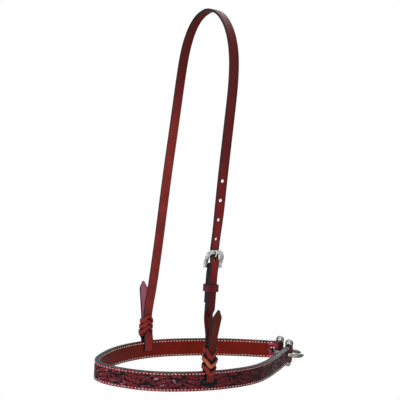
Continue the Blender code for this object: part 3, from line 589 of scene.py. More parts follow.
def dyed_leather(name, colour, dark, roughness, grain, gloss, flesh=False):
    """Vegetable-tanned leather: dyed by hand, so its colour and gloss are uneven."""
    finish = Finish(name)
    cloudy = finish.noise(42.0, 4.0, 0.6)
    streaky = finish.noise(420.0, 3.0, 0.55)
    pores = finish.cells("DISTANCE_TO_EDGE", 1500.0)
    share = (cloudy - 0.5) * 1.3 + (streaky - 0.5) * 0.7 + 0.5
    finish.base = finish.mix(share.fade(0.15, 0.95), dark, colour)
    finish.height = (pores.fade(0.0, 0.22) * 0.5 + streaky * (1.6 if flesh else 0.7)) * grain
    finish.coat = (1 - finish.slope().fade(0.35, 0.95)) * gloss
    finish.give(Base_Color=finish.base, Roughness=(cloudy - 0.5) * 0.3 + roughness,
                Coat_Weight=finish.coat, Coat_Roughness=0.24, Specular_IOR_Level=0.04)
    finish.roughen(finish.height)
    return finish


def sew_and_black(finish, colour, seam_colour):
    """Darken the stitch groove, and paint the edges black, with a painted teal-grey sheen on them towards
    both ends of the band.
    """
    seam = (1 - abs(finish.painted("across") - 0.811).fade(0.022, 0.04)) * 0.8
    backwards = finish.reach(0)
    # Painted sheen: the black edges turn lighter teal grey at the nose and towards the pins.
    end_sheen = 1 - backwards.fade(-0.1, -0.03) * (1 - backwards.fade(0.07, 0.17))
    edge_colour = finish.mix(end_sheen, (0.005, 0.01, 0.012), (0.024, 0.05, 0.056))
    edge_paint = finish.painted("edge").fade(0.5, 0.85)
    return finish.mix(edge_paint, finish.mix(seam, colour, seam_colour), edge_colour), edge_paint


tooled_finish = dyed_leather("tooled_burgundy", (0.235, 0.011, 0.021), (0.115, 0.004, 0.008), 0.36, 0.7, 0.26)
carved = tooled_finish.painted("tooling")
turned = tooled_finish.painted("turned")
backwards = tooled_finish.reach(0)
# Painted shade: the crests darken towards the pin end of the band (+x) and lose some gloss there.
right_shade = backwards.fade(-0.06, 0.1)
matting = tooled_finish.cells("F1", 1150.0)
pulled = tooled_finish.noise(260.0, 3.0)
# Painted highlights: sparse pale mauve spots on the highest crests, on the nose side of x -0.02 m.
painted_highlight = tooled_finish.noise(150.0, 1.0).fade(0.64, 0.72)
painted_highlight = painted_highlight * carved.fade(0.72, 0.95) * (1 - backwards.fade(-0.07, -0.02))
ground = tooled_finish.mix(matting.fade(0.1, 0.7), (0.001, 0.002, 0.003), (0.005, 0.011, 0.014))
crest = tooled_finish.mix(right_shade * 0.85, tooled_finish.base, (0.04, 0.005, 0.005))
antique_and_painted_light = tooled_finish.mix(carved.fade(0.5, 1.0), (0.016, 0.001, 0.003), crest)
antique_and_painted_light = tooled_finish.mix(painted_highlight * 0.8, antique_and_painted_light, (0.46, 0.22, 0.34))
skin_colour = tooled_finish.mix(carved.fade(0.25, 0.45), ground, antique_and_painted_light)
# The turned-back ends are crimson, with painted mauve sheen on the raised parts of their creases.
flap_colour = tooled_finish.mix(pulled.fade(0.45, 0.68), (0.2, 0.007, 0.02), (0.42, 0.11, 0.17))
skin_colour = tooled_finish.mix(turned * 0.9, skin_colour, flap_colour)
skin_colour, edge_paint = sew_and_black(tooled_finish, skin_colour, (0.03, 0.002, 0.003))
tooled_shine = tooled_finish.coat * carved.fade(0.2, 0.7) * (1 - right_shade * 0.7)
tooled_finish.give(Base_Color=skin_colour, Roughness=0.4 - 0.14 * carved, Coat_Roughness=0.14,
                   Coat_Weight=tooled_shine * (1 - 0.8 * edge_paint))
tooled_height = (tooled_finish.height + pulled * turned * 6.0) * (1 - 0.95 * edge_paint)
tooled_finish.roughen(tooled_height + matting * (1 - carved.fade(0.3, 0.5)) * 2.0)
set_piece(bm, "tooled_ply", [tooled_finish], "noseband", ["tooled_outer_band"], 60)


# Lining of the nose band
# A plain strip of firm leather glued inside the tooled ply between its two turned-back ends.
# Its face is dyed brick red and its edges are painted black with the outer ply's.
lining_path = LeatherPath(band_middle.moved(-ply_out, 18.3 * MM), vertical)
lining_slots = strap_slots(lining_path)
lining_marks = [mark for a, b, _ in lining_slots for mark in (a, b)]
lining_half = (2.2, 6, 9.5, 9.7, STITCH_LEVEL, 10.9, 11.1, 11.6, 12.1, 12.45, HALF_BAND)
lining_acrosses = np.array((*[-y for y in reversed(lining_half)], 0, *lining_half)) * MM
bm = cut_sheet(lines_with(0, lining_path.length, 2 * MM, lining_marks), lining_acrosses, lining_slots)
away = np.array([abs(vert.co.y) for vert in bm.verts]) / MM
rounding, face_sunk = round_edge(away)
paint(bm, edge=rounding * 0.98, across=away / HALF_BAND)
for vert, depth in zip(bm.verts, face_sunk):
    vert.co.z = -PLY / 2 + depth * MM
edge_layer = bm.verts.layers.float["edge"]
lining_back = bmesh.ops.extrude_face_region(bm, geom=bm.faces[:], use_keep_orig=True)
for vert in new_verts(lining_back):
    vert.co.z = PLY / 2
    vert[edge_layer] = 1
lining_path.lay(bm)
lining_finish = dyed_leather("brick_lining", (0.155, 0.009, 0.005), (0.11, 0.006, 0.003), 0.5, 0.5, 0.03)
# Painted shade: the lining darkens towards the nose.
worn_nose = (1 - lining_finish.reach(0).fade(-0.1, 0.04)) * 0.75
lining_colour = lining_finish.mix(worn_nose, lining_finish.base, (0.075, 0.01, 0.008))
lining_colour, edge_paint = sew_and_black(lining_finish, lining_colour, (0.03, 0.002, 0.002))
lining_finish.give(Base_Color=lining_colour)
lining_finish.roughen(lining_finish.height * (1 - 0.95 * edge_paint))
set_piece(bm, "smooth_lining", [lining_finish], "noseband", ["band_lining"], 60)


# Stitching of the nose band
# Waxed cream thread, lock-stitched near both edges through both plies, with every stitch
# pulled down into a groove. The same thread shows on the lining and on the turned-back ends.
def waxed_thread(name, clean, soiled):
    """Twisted and waxed linen thread, soiled unevenly by the dye."""
    finish = Finish(name)
    colour = finish.mix(finish.noise(160.0, 2.0).fade(0.3, 0.7), soiled, clean)
    finish.give(Base_Color=colour, Roughness=0.6, Specular_IOR_Level=0.2)
    finish.roughen(finish.noise(1800.0, 2.0), 0.0002)
    return finish


thread_finish = waxed_thread("waxed_thread", (0.82, 0.7, 0.62), (0.56, 0.43, 0.37))
bobbin_finish = waxed_thread("bobbin_thread", (0.92, 0.78, 0.7), (0.62, 0.44, 0.36))


def sew_row(path, level, side, pitch=4.65 * MM, length=2.7 * MM, slant=7, half_width=0.52 * MM):
    """A row of stitches along a path, lying just proud of their groove."""
    bm = bmesh.new()
    count = int((path.length - 3 * MM) / pitch)
    start = (path.length - count * pitch) / 2
    shape = Matrix.Diagonal((length / 2, half_width, 0.5 * MM, 1))
    for i in range(count + 1):
        place = Matrix.Translation((start + i * pitch, level, side * 0.12 * MM))
        turn = Matrix.Rotation(math.radians(slant), 4, "Z")
        bmesh.ops.create_uvsphere(bm, u_segments=6, v_segments=5, radius=1,
                                  matrix=place @ turn @ shape @ Matrix.Rotation(math.pi / 2, 4, "Y"))
    path.lay(bm)
    return bm


face_out = PLY + PLY_GAP / 2 - 0.5 * MM
for face, side, thread, half_width in (("outer", 1, thread_finish, 0.52 * MM),
                                       ("lining", -1, bobbin_finish, 0.68 * MM)):
    row_path = LeatherPath(band_middle.moved(side * face_out, 10.5 * MM), vertical)
    for edge, level in (("top", STITCH_LEVEL * MM), ("bottom", -STITCH_LEVEL * MM)):
        row = sew_row(row_path, level, side, half_width=half_width)
        set_piece(row, f"{face}_{edge}_stitches", [thread], "noseband",
                  [f"{face}_{edge}_thread"], 80)


# Pins
# Turned nickel-plated steel pins that hold the folded ends: a large ball head above the
# leather and a small one riveted on below.
def plated(name, bright, dull):
    """Polished nickel plate, clouded and scuffed, whose colour is darkened towards its outline as a painted
    dark reflection.
    """
    finish = Finish(name)
    tarnish = finish.noise(260.0, 5.0)
    scuffs = finish.noise(1400.0, 3.0)
    plate = finish.mix(tarnish.fade(0.35, 0.7), bright, dull)
    # Painted reflection: the colour goes nearly black towards the outline.
    colour = finish.mix(finish.slope().fade(0.12, 0.62) * 0.96, plate, (0.012, 0.014, 0.014))
    finish.give(Base_Color=colour, Metallic=1.0, Roughness=0.07 + 0.14 * scuffs)
    finish.roughen(scuffs + tarnish * 2.0, 0.00006)
    return finish


nickel_finish = plated("polished_nickel", (0.53, 0.54, 0.52), (0.3, 0.31, 0.29))
# Painted shade: a darker copy of the nickel for the pins and the ring.
pin_finish = plated("worn_nickel", (0.33, 0.33, 0.28), (0.16, 0.16, 0.13))


def turn_metal(profile, place):
    """Spin a profile of (radius, height) points in millimetres round an upright axis."""
    bm = bmesh.new()
    verts = [bm.verts.new((radius * MM, 0, height * MM)) for radius, height in profile]
    edges = [bm.edges.new(pair) for pair in zip(verts, verts[1:])]
    bmesh.ops.spin(bm, geom=verts + edges, axis=(0, 0, 1), cent=(0, 0, 0), angle=2 * math.pi,
                   steps=40, use_merge=True)
    bmesh.ops.remove_doubles(bm, verts=bm.verts, dist=0.001 * MM)
    bmesh.ops.recalc_face_normals(bm, faces=bm.faces)
    bmesh.ops.translate(bm, verts=bm.verts, vec=place)
    return bm


head = [(6.15 * math.cos(t), 15.3 + 5.7 * math.sin(t)) for t in np.radians(np.linspace(-22, 90, 15))]
foot = [(4.5 * math.cos(t), -15.3 + 4.5 * math.sin(t)) for t in np.radians(np.linspace(-90, 30, 13))]
pin_profile = [(abs(r), z) for r, z in (*foot, (2.8, -13), (2.8, 13), (5.2, 13), *head)]
# Painted shade: the shaft between the heads is nearly black.
shaft_finish = dyed_leather("shaft_in_painted_shade", (0.02, 0.02, 0.018), (0.01, 0.01, 0.009), 0.5, 0.3, 0.0)
for name, place in (("near_pin", near_pin), ("far_pin", far_pin)):
    bm = turn_metal(pin_profile, place)
    for face in bm.faces:
        if abs(face.calc_center_median().z - place[2]) < 12.5 * MM:
            face.material_index = 1
    set_piece(bm, f"{name}_turned", [pin_finish, shaft_finish], "noseband", [name], 40)


# Rear ring
# A welded ring of nickel-plated quarter inch wire. It goes through a slot in each folded end
# of the band, just inside the pins, and takes a tie-down strap.
RING_RADIUS = 22.2 * MM
RING_WIRE = 3.1 * MM
droop = math.radians(6.5)
ring_back = np.array((math.cos(droop), 0, -math.sin(droop)))
ring_pivot = np.array((163.198, 0, -483.443)) * MM
ring_centre = ring_pivot + ring_back * (200.3 * MM - (ring_pivot[0] - slot_axis[0]))
bm = bmesh.new()
wire = bmesh.ops.create_circle(bm, segments=20, radius=RING_WIRE)["verts"]
bmesh.ops.rotate(bm, verts=wire, cent=(0, 0, 0), matrix=Matrix.Rotation(math.pi / 2, 3, "X"))
bmesh.ops.translate(bm, verts=wire, vec=(RING_RADIUS, 0, 0))
bmesh.ops.spin(bm, geom=bm.verts[:] + bm.edges[:], axis=(0, 0, 1), cent=(0, 0, 0), angle=2 * math.pi,
               steps=96, use_merge=True)
bmesh.ops.remove_doubles(bm, verts=bm.verts, dist=0.001 * MM)
bmesh.ops.recalc_face_normals(bm, faces=bm.faces)
bmesh.ops.rotate(bm, verts=bm.verts, cent=(0, 0, 0), matrix=Matrix.Rotation(droop, 3, "Y"))
bmesh.ops.translate(bm, verts=bm.verts, vec=ring_centre)
set_piece(bm, "welded_ring", [pin_finish], "chin_ring", ["rear_ring"], 60)


# Crown strap
# Half inch bridle leather with rounded, blacked edges and five punched holes. It is plaited
# into the far side of the band and its point is buckled on the near side.
def ease(value, start, end):
    share = min(max((value - start) / (end - start), 0), 1)
    return share * share * (3 - 2 * share)


class SlotSide:
    """Places beside one hanger slot, by height up the hanger and distance out from the band."""

    def __init__(self, centre, square, sign):
        self.centre = np.array(centre)
        self.square = np.array(square)
        self.sign = sign

    def facing(self, height):
        share = ease(height, 0, 60 * MM)
        facing = self.square * (1 - share) + np.array((0, self.sign, 0)) * share
        return facing / np.linalg.norm(facing)

    def spot(self, height, out, across=0.0):
        """Point given in millimetres."""
        height, out, across = height * MM, out * MM, across * MM
        return self.centre + hanger_up * height + self.facing(height) * out + self.width(height) * across

    def spread(self, height, spread):
        return self.spot(height, spread - abs(self.centre[1]) / MM)

    def width(self, height):
        width = np.cross(hanger_up, self.facing(height)) * -self.sign
        return width / np.linalg.norm(width)

    def width_at(self, point):
        return self.width(float((point - self.centre) @ hanger_up))

    def slot_turn(self):
        """Down inside the band, through the slot and up outside."""
        radius = 2.4
        turns = [(radius * (1 - math.sin(t)), 3 + radius * math.cos(t)) for t in np.radians(range(0, 91, 15))]
        return [self.spot(h, -o) for h, o in turns] + [self.spot(h, o) for h, o in turns[::-1]]


slot_sides = {}
for place, point in hanger_slots(band_middle):
    i = np.abs(band_middle.places - place).argmin()
    sign = 1 if point[1] > 0 else -1
    slot_sides[sign] = SlotSide(point, band_middle.outs[i], sign)
near, far = slot_sides[-1], slot_sides[1]
stack_lean = math.radians(3.2)
stack_up = hanger_up * math.cos(stack_lean) + np.array((0, math.sin(stack_lean), 0))
stack_out = np.array((0, -math.cos(stack_lean), 0)) + hanger_up * math.sin(stack_lean)
used_hole = near.spread(159.5, 73.1)


def stack_spot(rise, out, across=0.0):
    """Point above the heel bar and out from the crown strap's middle, in millimetres."""
    return used_hole + (stack_up * (rise - 9) + stack_out * out + hanger_across * across) * MM


def soften(points, reach):
    """Even out the kinks of a close-spaced run, leaving its ends."""
    points = np.array(points)
    ends = points[0].copy(), points[-1].copy()
    for _ in range(reach):
        points[1:-1] = (points[:-2] + 2 * points[1:-1] + points[2:]) / 4
    points[0], points[-1] = ends
    return points


far_heights = (0.989, 0.966, 0.897, 0.807, 0.693, 0.579, 0.465, 0.35, 0.26, 0.168, 0.078)
far_spreads = (0.23, 0.41, 0.624, 0.708, 0.751, 0.794, 0.836, 0.865, 0.888, 0.92, 0.968)
near_heights = (0.984, 0.95, 0.85, 0.717, 0.551, 0.385, 0.218, 0.051)
near_spreads = (0.3, 0.524, 0.834, 0.978, 1.0, 0.992, 0.989, 0.99)
FAR_FOOT, FAR_RISE, FAR_SPREAD = 46, 439.6, 80
NEAR_FOOT, NEAR_RISE, NEAR_SPREAD = 184.9, 300.7, 73
TWIST = 14
far_tail = curve_through([far.spot(height, out) for height, out in (
    (7, 5.4), (14.6, 5.4), (47.75, 12), (71.6, 20.2), (95.5, 28.2))], 2 * MM)
apex = hanger_up * 1.6 * MM
rising = [far.spread(FAR_FOOT + FAR_RISE * h, FAR_SPREAD * s) for h, s in zip(far_heights, far_spreads)]
rising = [far.spot(14.6, -5.4), far.spot(FAR_FOOT, 4.6), *rising[::-1]]
far_run = curve_through([*rising, apex + np.array((0, 4.8, 0)) * MM], 2 * MM)
crown_flat = [apex + np.array((0, y, 0)) * MM for y in (4, 2, 0, -2, -4)]
bends = [stack_spot(17.2 * rise, out) for rise, out in (
    (2.0, 0), (1.14, -1.35), (0.85, -1.35), (0.5, -0.3), (0.12, 1), (-0.24, 1), (-0.76, 0), (-1.2, 0))]
falling = [near.spread(NEAR_FOOT + NEAR_RISE * h, NEAR_SPREAD * s)
           for h, s in zip(near_heights, near_spreads)]
near_run = curve_through([apex - np.array((0, 4.8, 0)) * MM, *falling, bends[0]], 2 * MM)
stack_run = curve_through([*bends, stack_spot(-59.5, 0), stack_spot(-69, 0)], 1 * MM)
crown_points = [*far_tail[::-1], *far.slot_turn()[::-1], *far_run, *crown_flat, *near_run, *stack_run[1:]]
crown_points = curve_through(soften(crown_points, 2), 1 * MM)
crown_widths = [(far if p[1] > 0 else near).width_at(p) for p in crown_points]
tail_count = np.linalg.norm(crown_points - far.spot(0, 0), axis=1).argmin()
for i, point in enumerate(crown_points):
    height = (point - far.centre) @ hanger_up / MM
    twist = 0
    if point[1] < 0:
        twist = TWIST * ease(height, 185, 235) * (1 - ease(height, 420, 478))
    elif i > tail_count:
        twist = TWIST * ease(height, 34, 80) * (1 - ease(height, 420, 478))
        twist += 17 * math.exp(-((height - 14) / 10) ** 2)
    turn = Matrix.Rotation(math.radians(-twist), 3, Vector(hanger_up))
    crown_widths[i] = np.array(turn @ Vector(crown_widths[i]))
crown_path = LeatherPath(crown_points, crown_widths)


def place_on(path, point):
    """How far along a path its nearest point to another is."""
    return path.places[np.linalg.norm(path.points - point, axis=1).argmin()]


STRAP_WIDTH = 12.7 * MM
STRAP_THICKNESS = 3.2 * MM
HOLE_SPACING = 25.4 * MM
TAIL_LENGTH = 84 * MM


def strap_outline(width, thickness, rounding):
    """A strap's section, with flat faces and rounded corners, as (across, out) in metres."""
    corner = [(width / 2 - rounding * (1 - math.sin(turn)), thickness / 2 - rounding * (1 - math.cos(turn)))
              for turn in np.radians((0, 30, 60, 90))]
    upper = [(-a, b) for a, b in corner[::-1]] + [(0, thickness / 2)] + corner
    return upper + [(a, -b) for a, b in upper[::-1]]


def cut_strap(length, width, thickness, step, rounding=0.8 * MM, black=None, looks=(0, 1, 2)):
    """Straight strap: its section is extruded to length and cut across at every step.

    The looks are the materials of its inner face, its outer face and its edges."""
    outline = strap_outline(width, thickness, rounding)
    bm = bmesh.new()
    section = bm.faces.new([bm.verts.new((0, a, b)) for a, b in outline])
    grown = bmesh.ops.extrude_face_region(bm, geom=[section])
    bmesh.ops.translate(bm, verts=new_verts(grown), vec=(length, 0, 0))
    if not any(face.normal.x < -0.9 for face in bm.faces):
        bm.faces.new([vert for vert in bm.verts if vert.co.x < length / 2][:len(outline)])
    long_edges = [edge for edge in bm.edges if abs(edge.verts[0].co.x - edge.verts[1].co.x) > length / 2]
    bmesh.ops.subdivide_edges(bm, edges=long_edges, cuts=max(1, round(length / step) - 1))
    bm.normal_update()
    bmesh.ops.recalc_face_normals(bm, faces=bm.faces)
    for face in bm.faces:
        middle = face.calc_center_median()
        on_edge = abs(middle.y) > width / 2 - (black or 0.8 * rounding) or abs(face.normal.x) > 0.9
        face.material_index = looks[2] if on_edge else looks[middle.z > 0]
    return bm


def point_end(bm, ends, blunt=1.6 * MM, length=9.5 * MM):
    """Narrow a flat strap to a blunt point at the given places."""
    for vert in bm.verts:
        for end in ends:
            away = abs(vert.co.x - end)
            if away < length:
                vert.co.y *= (blunt + (STRAP_WIDTH - blunt) * away / length) / STRAP_WIDTH


def map_flat(bm):
    """Flat map of a strap, in tenths of a metre; the walls of its punched holes are blacked."""
    flat_map = bm.loops.layers.uv.new("flat")
    bm.normal_update()
    for face in bm.faces:
        if abs(face.normal.z) < 0.4 and abs(face.calc_center_median().y) < 0.4 * STRAP_WIDTH:
            face.material_index = 2
        for loop in face.loops:
            loop[flat_map].uv = (loop.vert.co.x * 10, loop.vert.co.y * 10)


def punch(bm, punches):
    """Cut shaped holes through a flat strap: (place, length, width) slots with round ends."""
    blank = as_object(bm, "strap")
    tools = []
    for place, length, width in punches:
        tool = bmesh.new()
        bmesh.ops.create_cone(tool, cap_ends=True, segments=24, radius1=width / 2, radius2=width / 2,
                              depth=12 * MM)
        for vert in tool.verts:
            vert.co.x += math.copysign((length - width) / 2, vert.co.x)
            vert.co.x += place
        tools.append(as_object(tool, "punch"))
        cut = blank.modifiers.new("punch", "BOOLEAN")
        cut.operation = "DIFFERENCE"
        cut.object = tools[-1]
        cut.solver = "EXACT"
    punched = bmesh.new()
    punched.from_mesh(blank.evaluated_get(bpy.context.evaluated_depsgraph_get()).to_mesh())
    for item in [blank, *tools]:
        bpy.data.objects.remove(item)
    return punched


buckle_mark = place_on(crown_path, stack_spot(14.2, -1.35))


def crease_and_shade(finish):
    """Lines creased along both edges, read from a strap's flat map, with a painted shadow under the buckle's
    top bar and painted shade high up the hanger.
    """
    flat = finish.node("UVMap", {"uv_map": "flat"}).outputs[0]
    across = finish.value("SeparateXYZ", {}, {0: flat}, 1)
    along = finish.value("SeparateXYZ", {}, {0: flat}, 0) - buckle_mark * 10
    line = 1 - abs(abs(across) - 0.0475).fade(0.0015, 0.004)
    notch = 0.052 + 0.055 * (1 - abs(across).fade(0.0, 0.035))
    # Painted shadow of the buckle's top bar across the strap, reaching down in a V at its middle.
    bar_shadow = along.fade(-0.06, -0.045) * (1 - (along - notch).fade(-0.012, 0.012))
    # Darker past the buckle, towards the strap's point.
    darkened_and_shaded = finish.mix(along.fade(0.22, 0.52) * 0.75, finish.base, (0.035, 0.002, 0.004))
    # Painted shade: darker in the top 0.2 m or so of the hanger.
    darkened_and_shaded = finish.mix(finish.reach(2).fade(-0.26, -0.17) * 0.7, darkened_and_shaded, (0.05, 0.004, 0.004))
    finish.give(Base_Color=finish.mix((line * 0.45).most(bar_shadow * 0.95), darkened_and_shaded, (0.006, 0.001, 0.002)))
    finish.roughen(finish.height - line * 3.0)
    return finish


grain_finish = crease_and_shade(dyed_leather("bridle_grain", (0.175, 0.011, 0.011), (0.11, 0.006, 0.007), 0.4, 0.6,
                                   0.16))
flesh_finish = dyed_leather("bridle_flesh", (0.215, 0.028, 0.024), (0.14, 0.016, 0.014), 0.62, 1.4, 0.0, True)
# Painted shade: the flesh side darkens towards the top of the hanger.
high_flesh_shade = flesh_finish.reach(2).fade(-0.19, -0.07) * 0.65
flesh_finish.give(Base_Color=flesh_finish.mix(high_flesh_shade, flesh_finish.base, (0.03, 0.006, 0.005)))
black_edge_finish = dyed_leather("blacked_edge", (0.006, 0.011, 0.014), (0.003, 0.005, 0.007), 0.34, 0.5,
                                 0.15)
# Painted sheen: burgundy grain painted mauve, for the far tail's inner face.
sheen_grain_finish = dyed_leather("grain_painted_sheen", (0.42, 0.12, 0.18), (0.25, 0.065, 0.105), 0.4, 0.8, 0.1)
bm = cut_strap(crown_path.length, STRAP_WIDTH, STRAP_THICKNESS, 2.5 * MM)
point_end(bm, (0, crown_path.length))
outer_leg = place_on(crown_path, far.spot(8, 5.4))
plaited = (place_on(crown_path, far.spot(25, 7)), 12 * MM), (place_on(crown_path, far.spot(36, 1)), 9.5 * MM)
for vert in bm.verts:
    vert.co.y *= 1 - 0.1 * math.exp(-((vert.co.x - outer_leg) / (9 * MM)) ** 2)
    long_run = ease(vert.co.x, outer_leg + 45 * MM, outer_leg + 80 * MM)
    vert.co.y *= 1 + 0.04 * long_run * (1 - ease(vert.co.x, buckle_mark - 60 * MM, buckle_mark - 25 * MM))
# Painted shade: inside the knot the legs' faces take the black edge finish, so they show dark between the
# strands.
for face in bm.faces:
    middle = face.calc_center_median()
    if any(abs(middle.x - leg) < reach for leg, reach in plaited):
        face.material_index = 2
hole_place = place_on(crown_path, stack_spot(8.0, 0))
hole_row = place_on(crown_path, stack_spot(9.3, 0))
bm = punch(bm, [(hole_place, 7.2 * MM, 2.5 * MM),
                *[(hole_row - HOLE_SPACING * i, 4.5 * MM, 4.5 * MM) for i in range(1, 5)]])
map_flat(bm)
# The far tail's inner face takes the painted mauve sheen.
for face in bm.faces:
    if face.calc_center_median().x < TAIL_LENGTH and face.material_index == 0:
        face.material_index = 3
crown_path.lay(bm)
set_piece(bm, "crown_strap_leather", [grain_finish, flesh_finish, black_edge_finish, sheen_grain_finish],
          "hanger", ["crown_strap"], 40)


# Plaited knots
# Where each strap has come back through its slot it is split and plaited through itself, so
# that flat strands cross in a V outside and go over the top of each other inside.
def keep_sign(value, power):
    """A power that keeps the sign, for rounds with squarish corners."""
    return math.copysign(abs(value) ** power, value)


def facing_path(points, outs, step):
    """Path through points, whose leather faces the given way at each of them."""
    run = curve_through(points, step)
    places = np.linspace(0, 1, len(outs))
    rows = [np.interp(np.linspace(0, 1, len(run)), places, row) for row in np.array(outs).T]
    return LeatherPath(run, np.cross(np.gradient(run, axis=0), np.stack(rows, axis=1)))


def plait_knot(side, inner_top, outer_top, name, rings, strand_width=6.2):
    """Tilted rings of two half-strap strands round the legs: low in front, high behind."""
    whole = bmesh.new()
    whole.verts.layers.float.new("worn")
    # Strand edges are blacked; the far knot's black border is 1 mm wide, partly edge dye and partly painted
    # shade between the strands.
    black = (0.25 if strand_width < 6.3 else 1.0) * MM
    for foot, climb, back_climb, left, right, skew, worn, tucked in rings:
        for hand, half_width in ((-1, left), (1, right)):
            points, outs = [], []
            for share in np.linspace(-0.09, 1.06, 28):
                turn = math.pi * share
                in_front = turn < math.pi / 2
                reach = abs(math.sin(turn)) ** 0.78
                height = foot + climb * reach if in_front else foot + climb + back_climb * (1 - reach)
                rise = min(max((height - 14) / 32, 0), 1)
                front = 5.4 + (outer_top - 5.4) * rise + 1.6 + 0.8
                back = -5.4 + (inner_top + 5.4) * rise - 1.6 - 0.8 + tucked
                middle, depth = (front + back) / 2, (front - back) / 2
                tuck = 2.2 * max(0, -share) / 0.09 + 2.2 * max(0, share - 1) / 0.06
                over = 0.5 if hand * (1 if in_front else -1) > 0 else -0.45
                out = middle + (depth + over * math.cos(turn) ** 2 - tuck) * keep_sign(math.cos(turn), 0.5)
                across = hand * (half_width - 1.5) * keep_sign(math.sin(turn), 0.78) + skew * (1 - reach)
                points.append(side.spot(height, out, across))
                level = height * MM
                outs.append(side.facing(level) * math.cos(turn) + side.width(level) * hand * math.sin(turn))
            strand_path = facing_path(points, outs, 0.8 * MM)
            strand = cut_strap(strand_path.length, strand_width * MM, STRAP_THICKNESS, 1.0 * MM, 1.35 * MM,
                               black, looks=(0, 0, 1))
            for vert in strand.verts:
                vert.co.y *= 0.5 + 0.5 * ease(min(vert.co.x, strand_path.length - vert.co.x), 0, 7.5 * MM)
            # Lighter along each strand's middle and more on some rings: partly wear, partly painted
            # highlight.
            paint(strand, worn=[worn * (0.35 + 0.65 * (1 - min(abs(vert.co.y) / (2.8 * MM), 1) ** 2))
                                for vert in strand.verts])
            strand_path.lay(strand)
            join_to(whole, strand)
    set_piece(whole, name, [knot_finish, knot_edge_finish], "hanger", (), 50)


knot_finish = dyed_leather("worked_strands", (0.23, 0.024, 0.018), (0.13, 0.01, 0.009), 0.4, 0.8, 0.08)
# Strands lighten to orange tan: partly wear, partly painted highlight.
worn = knot_finish.painted("worn").fade(0.2, 1.0) * 0.8
knot_finish.give(Base_Color=knot_finish.mix(worn, knot_finish.base, (0.46, 0.13, 0.06)))
knot_edge_finish = dyed_leather("worked_strand_edges", (0.02, 0.004, 0.005), (0.005, 0.002, 0.003), 0.45,
                                0.6, 0.1)
plait_knot(far, 4.6, 11.0, "far_knot_strands",
           ((10.0, 12.0, 3.0, 9.6, 7.4, 0, 0.0, 7.0), (17.5, 8.5, 9.2, 11.8, 8.0, 0, 0.05, 0.6),
            (24.5, 9.0, 9.0, 10.8, 8.8, 0, 0.1, 0.2), (31.5, 9.5, 9.0, 9.6, 9.4, 0, 0.25, -0.4)), 6.4)


# Buckle strap
# A short half inch strap, thinned and folded round the buckle's heel bar and stitched to
# itself behind, then plaited into the near side of the band with its flesh side outwards.
BAR_OUT, BAR_FOLD = -3.7, 2.2
FRONT_OUT, TURNED_OUT, STITCH_OUT = -3.5, -6.5, -7.6
heel_bar = stack_spot(0, BAR_OUT)


def round_bar(first, last, count):
    """Points round the heel bar, by their angles from straight up, in degrees."""
    return [heel_bar + (stack_up * math.cos(t) + stack_out * math.sin(t)) * BAR_FOLD * MM
            for t in np.radians(np.linspace(first, last, count))]


turn_down = [stack_spot(rise, TURNED_OUT) for rise in (-50, -40, -30, -20, -13)]
turn_down.append(stack_spot(-4, BAR_OUT - BAR_FOLD))
turn_over = round_bar(-90, 90, 13)
down_run = curve_through([*[stack_spot(-13 - 56 * s, FRONT_OUT) for s in (0, 0.25, 0.5, 0.75, 0.9, 1)],
                          near.spot(62.1, -8.1), near.spot(46, -5.4), near.spot(14.6, -5.4)], 2 * MM)
near_tail = curve_through([near.spot(height, out) for height, out in (
    (7, 5.4), (14.6, 5.4), (47.5, 0.8), (71.25, 3.6), (95, 7.6))], 2 * MM)
front = [stack_spot(-4, BAR_OUT + BAR_FOLD), *down_run]
buckle_points = [*turn_down, *turn_over, *front, *near.slot_turn(), *near_tail]
buckle_points = curve_through(soften(curve_through(buckle_points, 0.7 * MM), 4), 0.7 * MM)
buckle_path = LeatherPath(buckle_points, [near.width_at(p) for p in buckle_points])
bm = cut_strap(buckle_path.length, STRAP_WIDTH, STRAP_THICKNESS, 1.6 * MM)
point_end(bm, (buckle_path.length,))
bar_place = place_on(buckle_path, turn_over[6])
slot_place = place_on(buckle_path, near.spot(0, 0))
outer_leg = place_on(buckle_path, near.spot(8, 5.4))
plaited_leg = place_on(buckle_path, near.spot(25, 3))
for vert in bm.verts:
    past_bar = vert.co.x - bar_place
    thinned = 1 - min(max((abs(past_bar) - 7 * MM) / (9 * MM), 0), 1)
    vert.co.z *= (2.2 - 1.0 * thinned if past_bar < 0 else 3.2 - 2.0 * thinned) / 3.2
    pinch = math.exp(-((vert.co.x - outer_leg) / (9 * MM)) ** 2)
    squash = math.exp(-((vert.co.x - slot_place) / (6 * MM)) ** 2)
    vert.co.y *= (1 - 0.12 * pinch) * (1 - 0.08 * squash)
    vert.co.z *= 1 - 0.25 * squash
# Painted shade: inside the knot the leg's faces take the black edge finish, so they show dark between the
# strands.
for face in bm.faces:
    if abs(face.calc_center_median().x - plaited_leg) < 12 * MM:
        face.material_index = 2
bm = punch(bm, [(bar_place, 12 * MM, 3.4 * MM)])
map_flat(bm)
for face in bm.faces:
    if face.calc_center_median().x > buckle_path.length - TAIL_LENGTH and face.material_index == 1:
        face.material_index = 3
buckle_path.lay(bm)
stub_flesh_finish = dyed_leather("dark_flesh", (0.165, 0.018, 0.014), (0.11, 0.011, 0.009), 0.62, 1.4, 0.0,
                                 True)
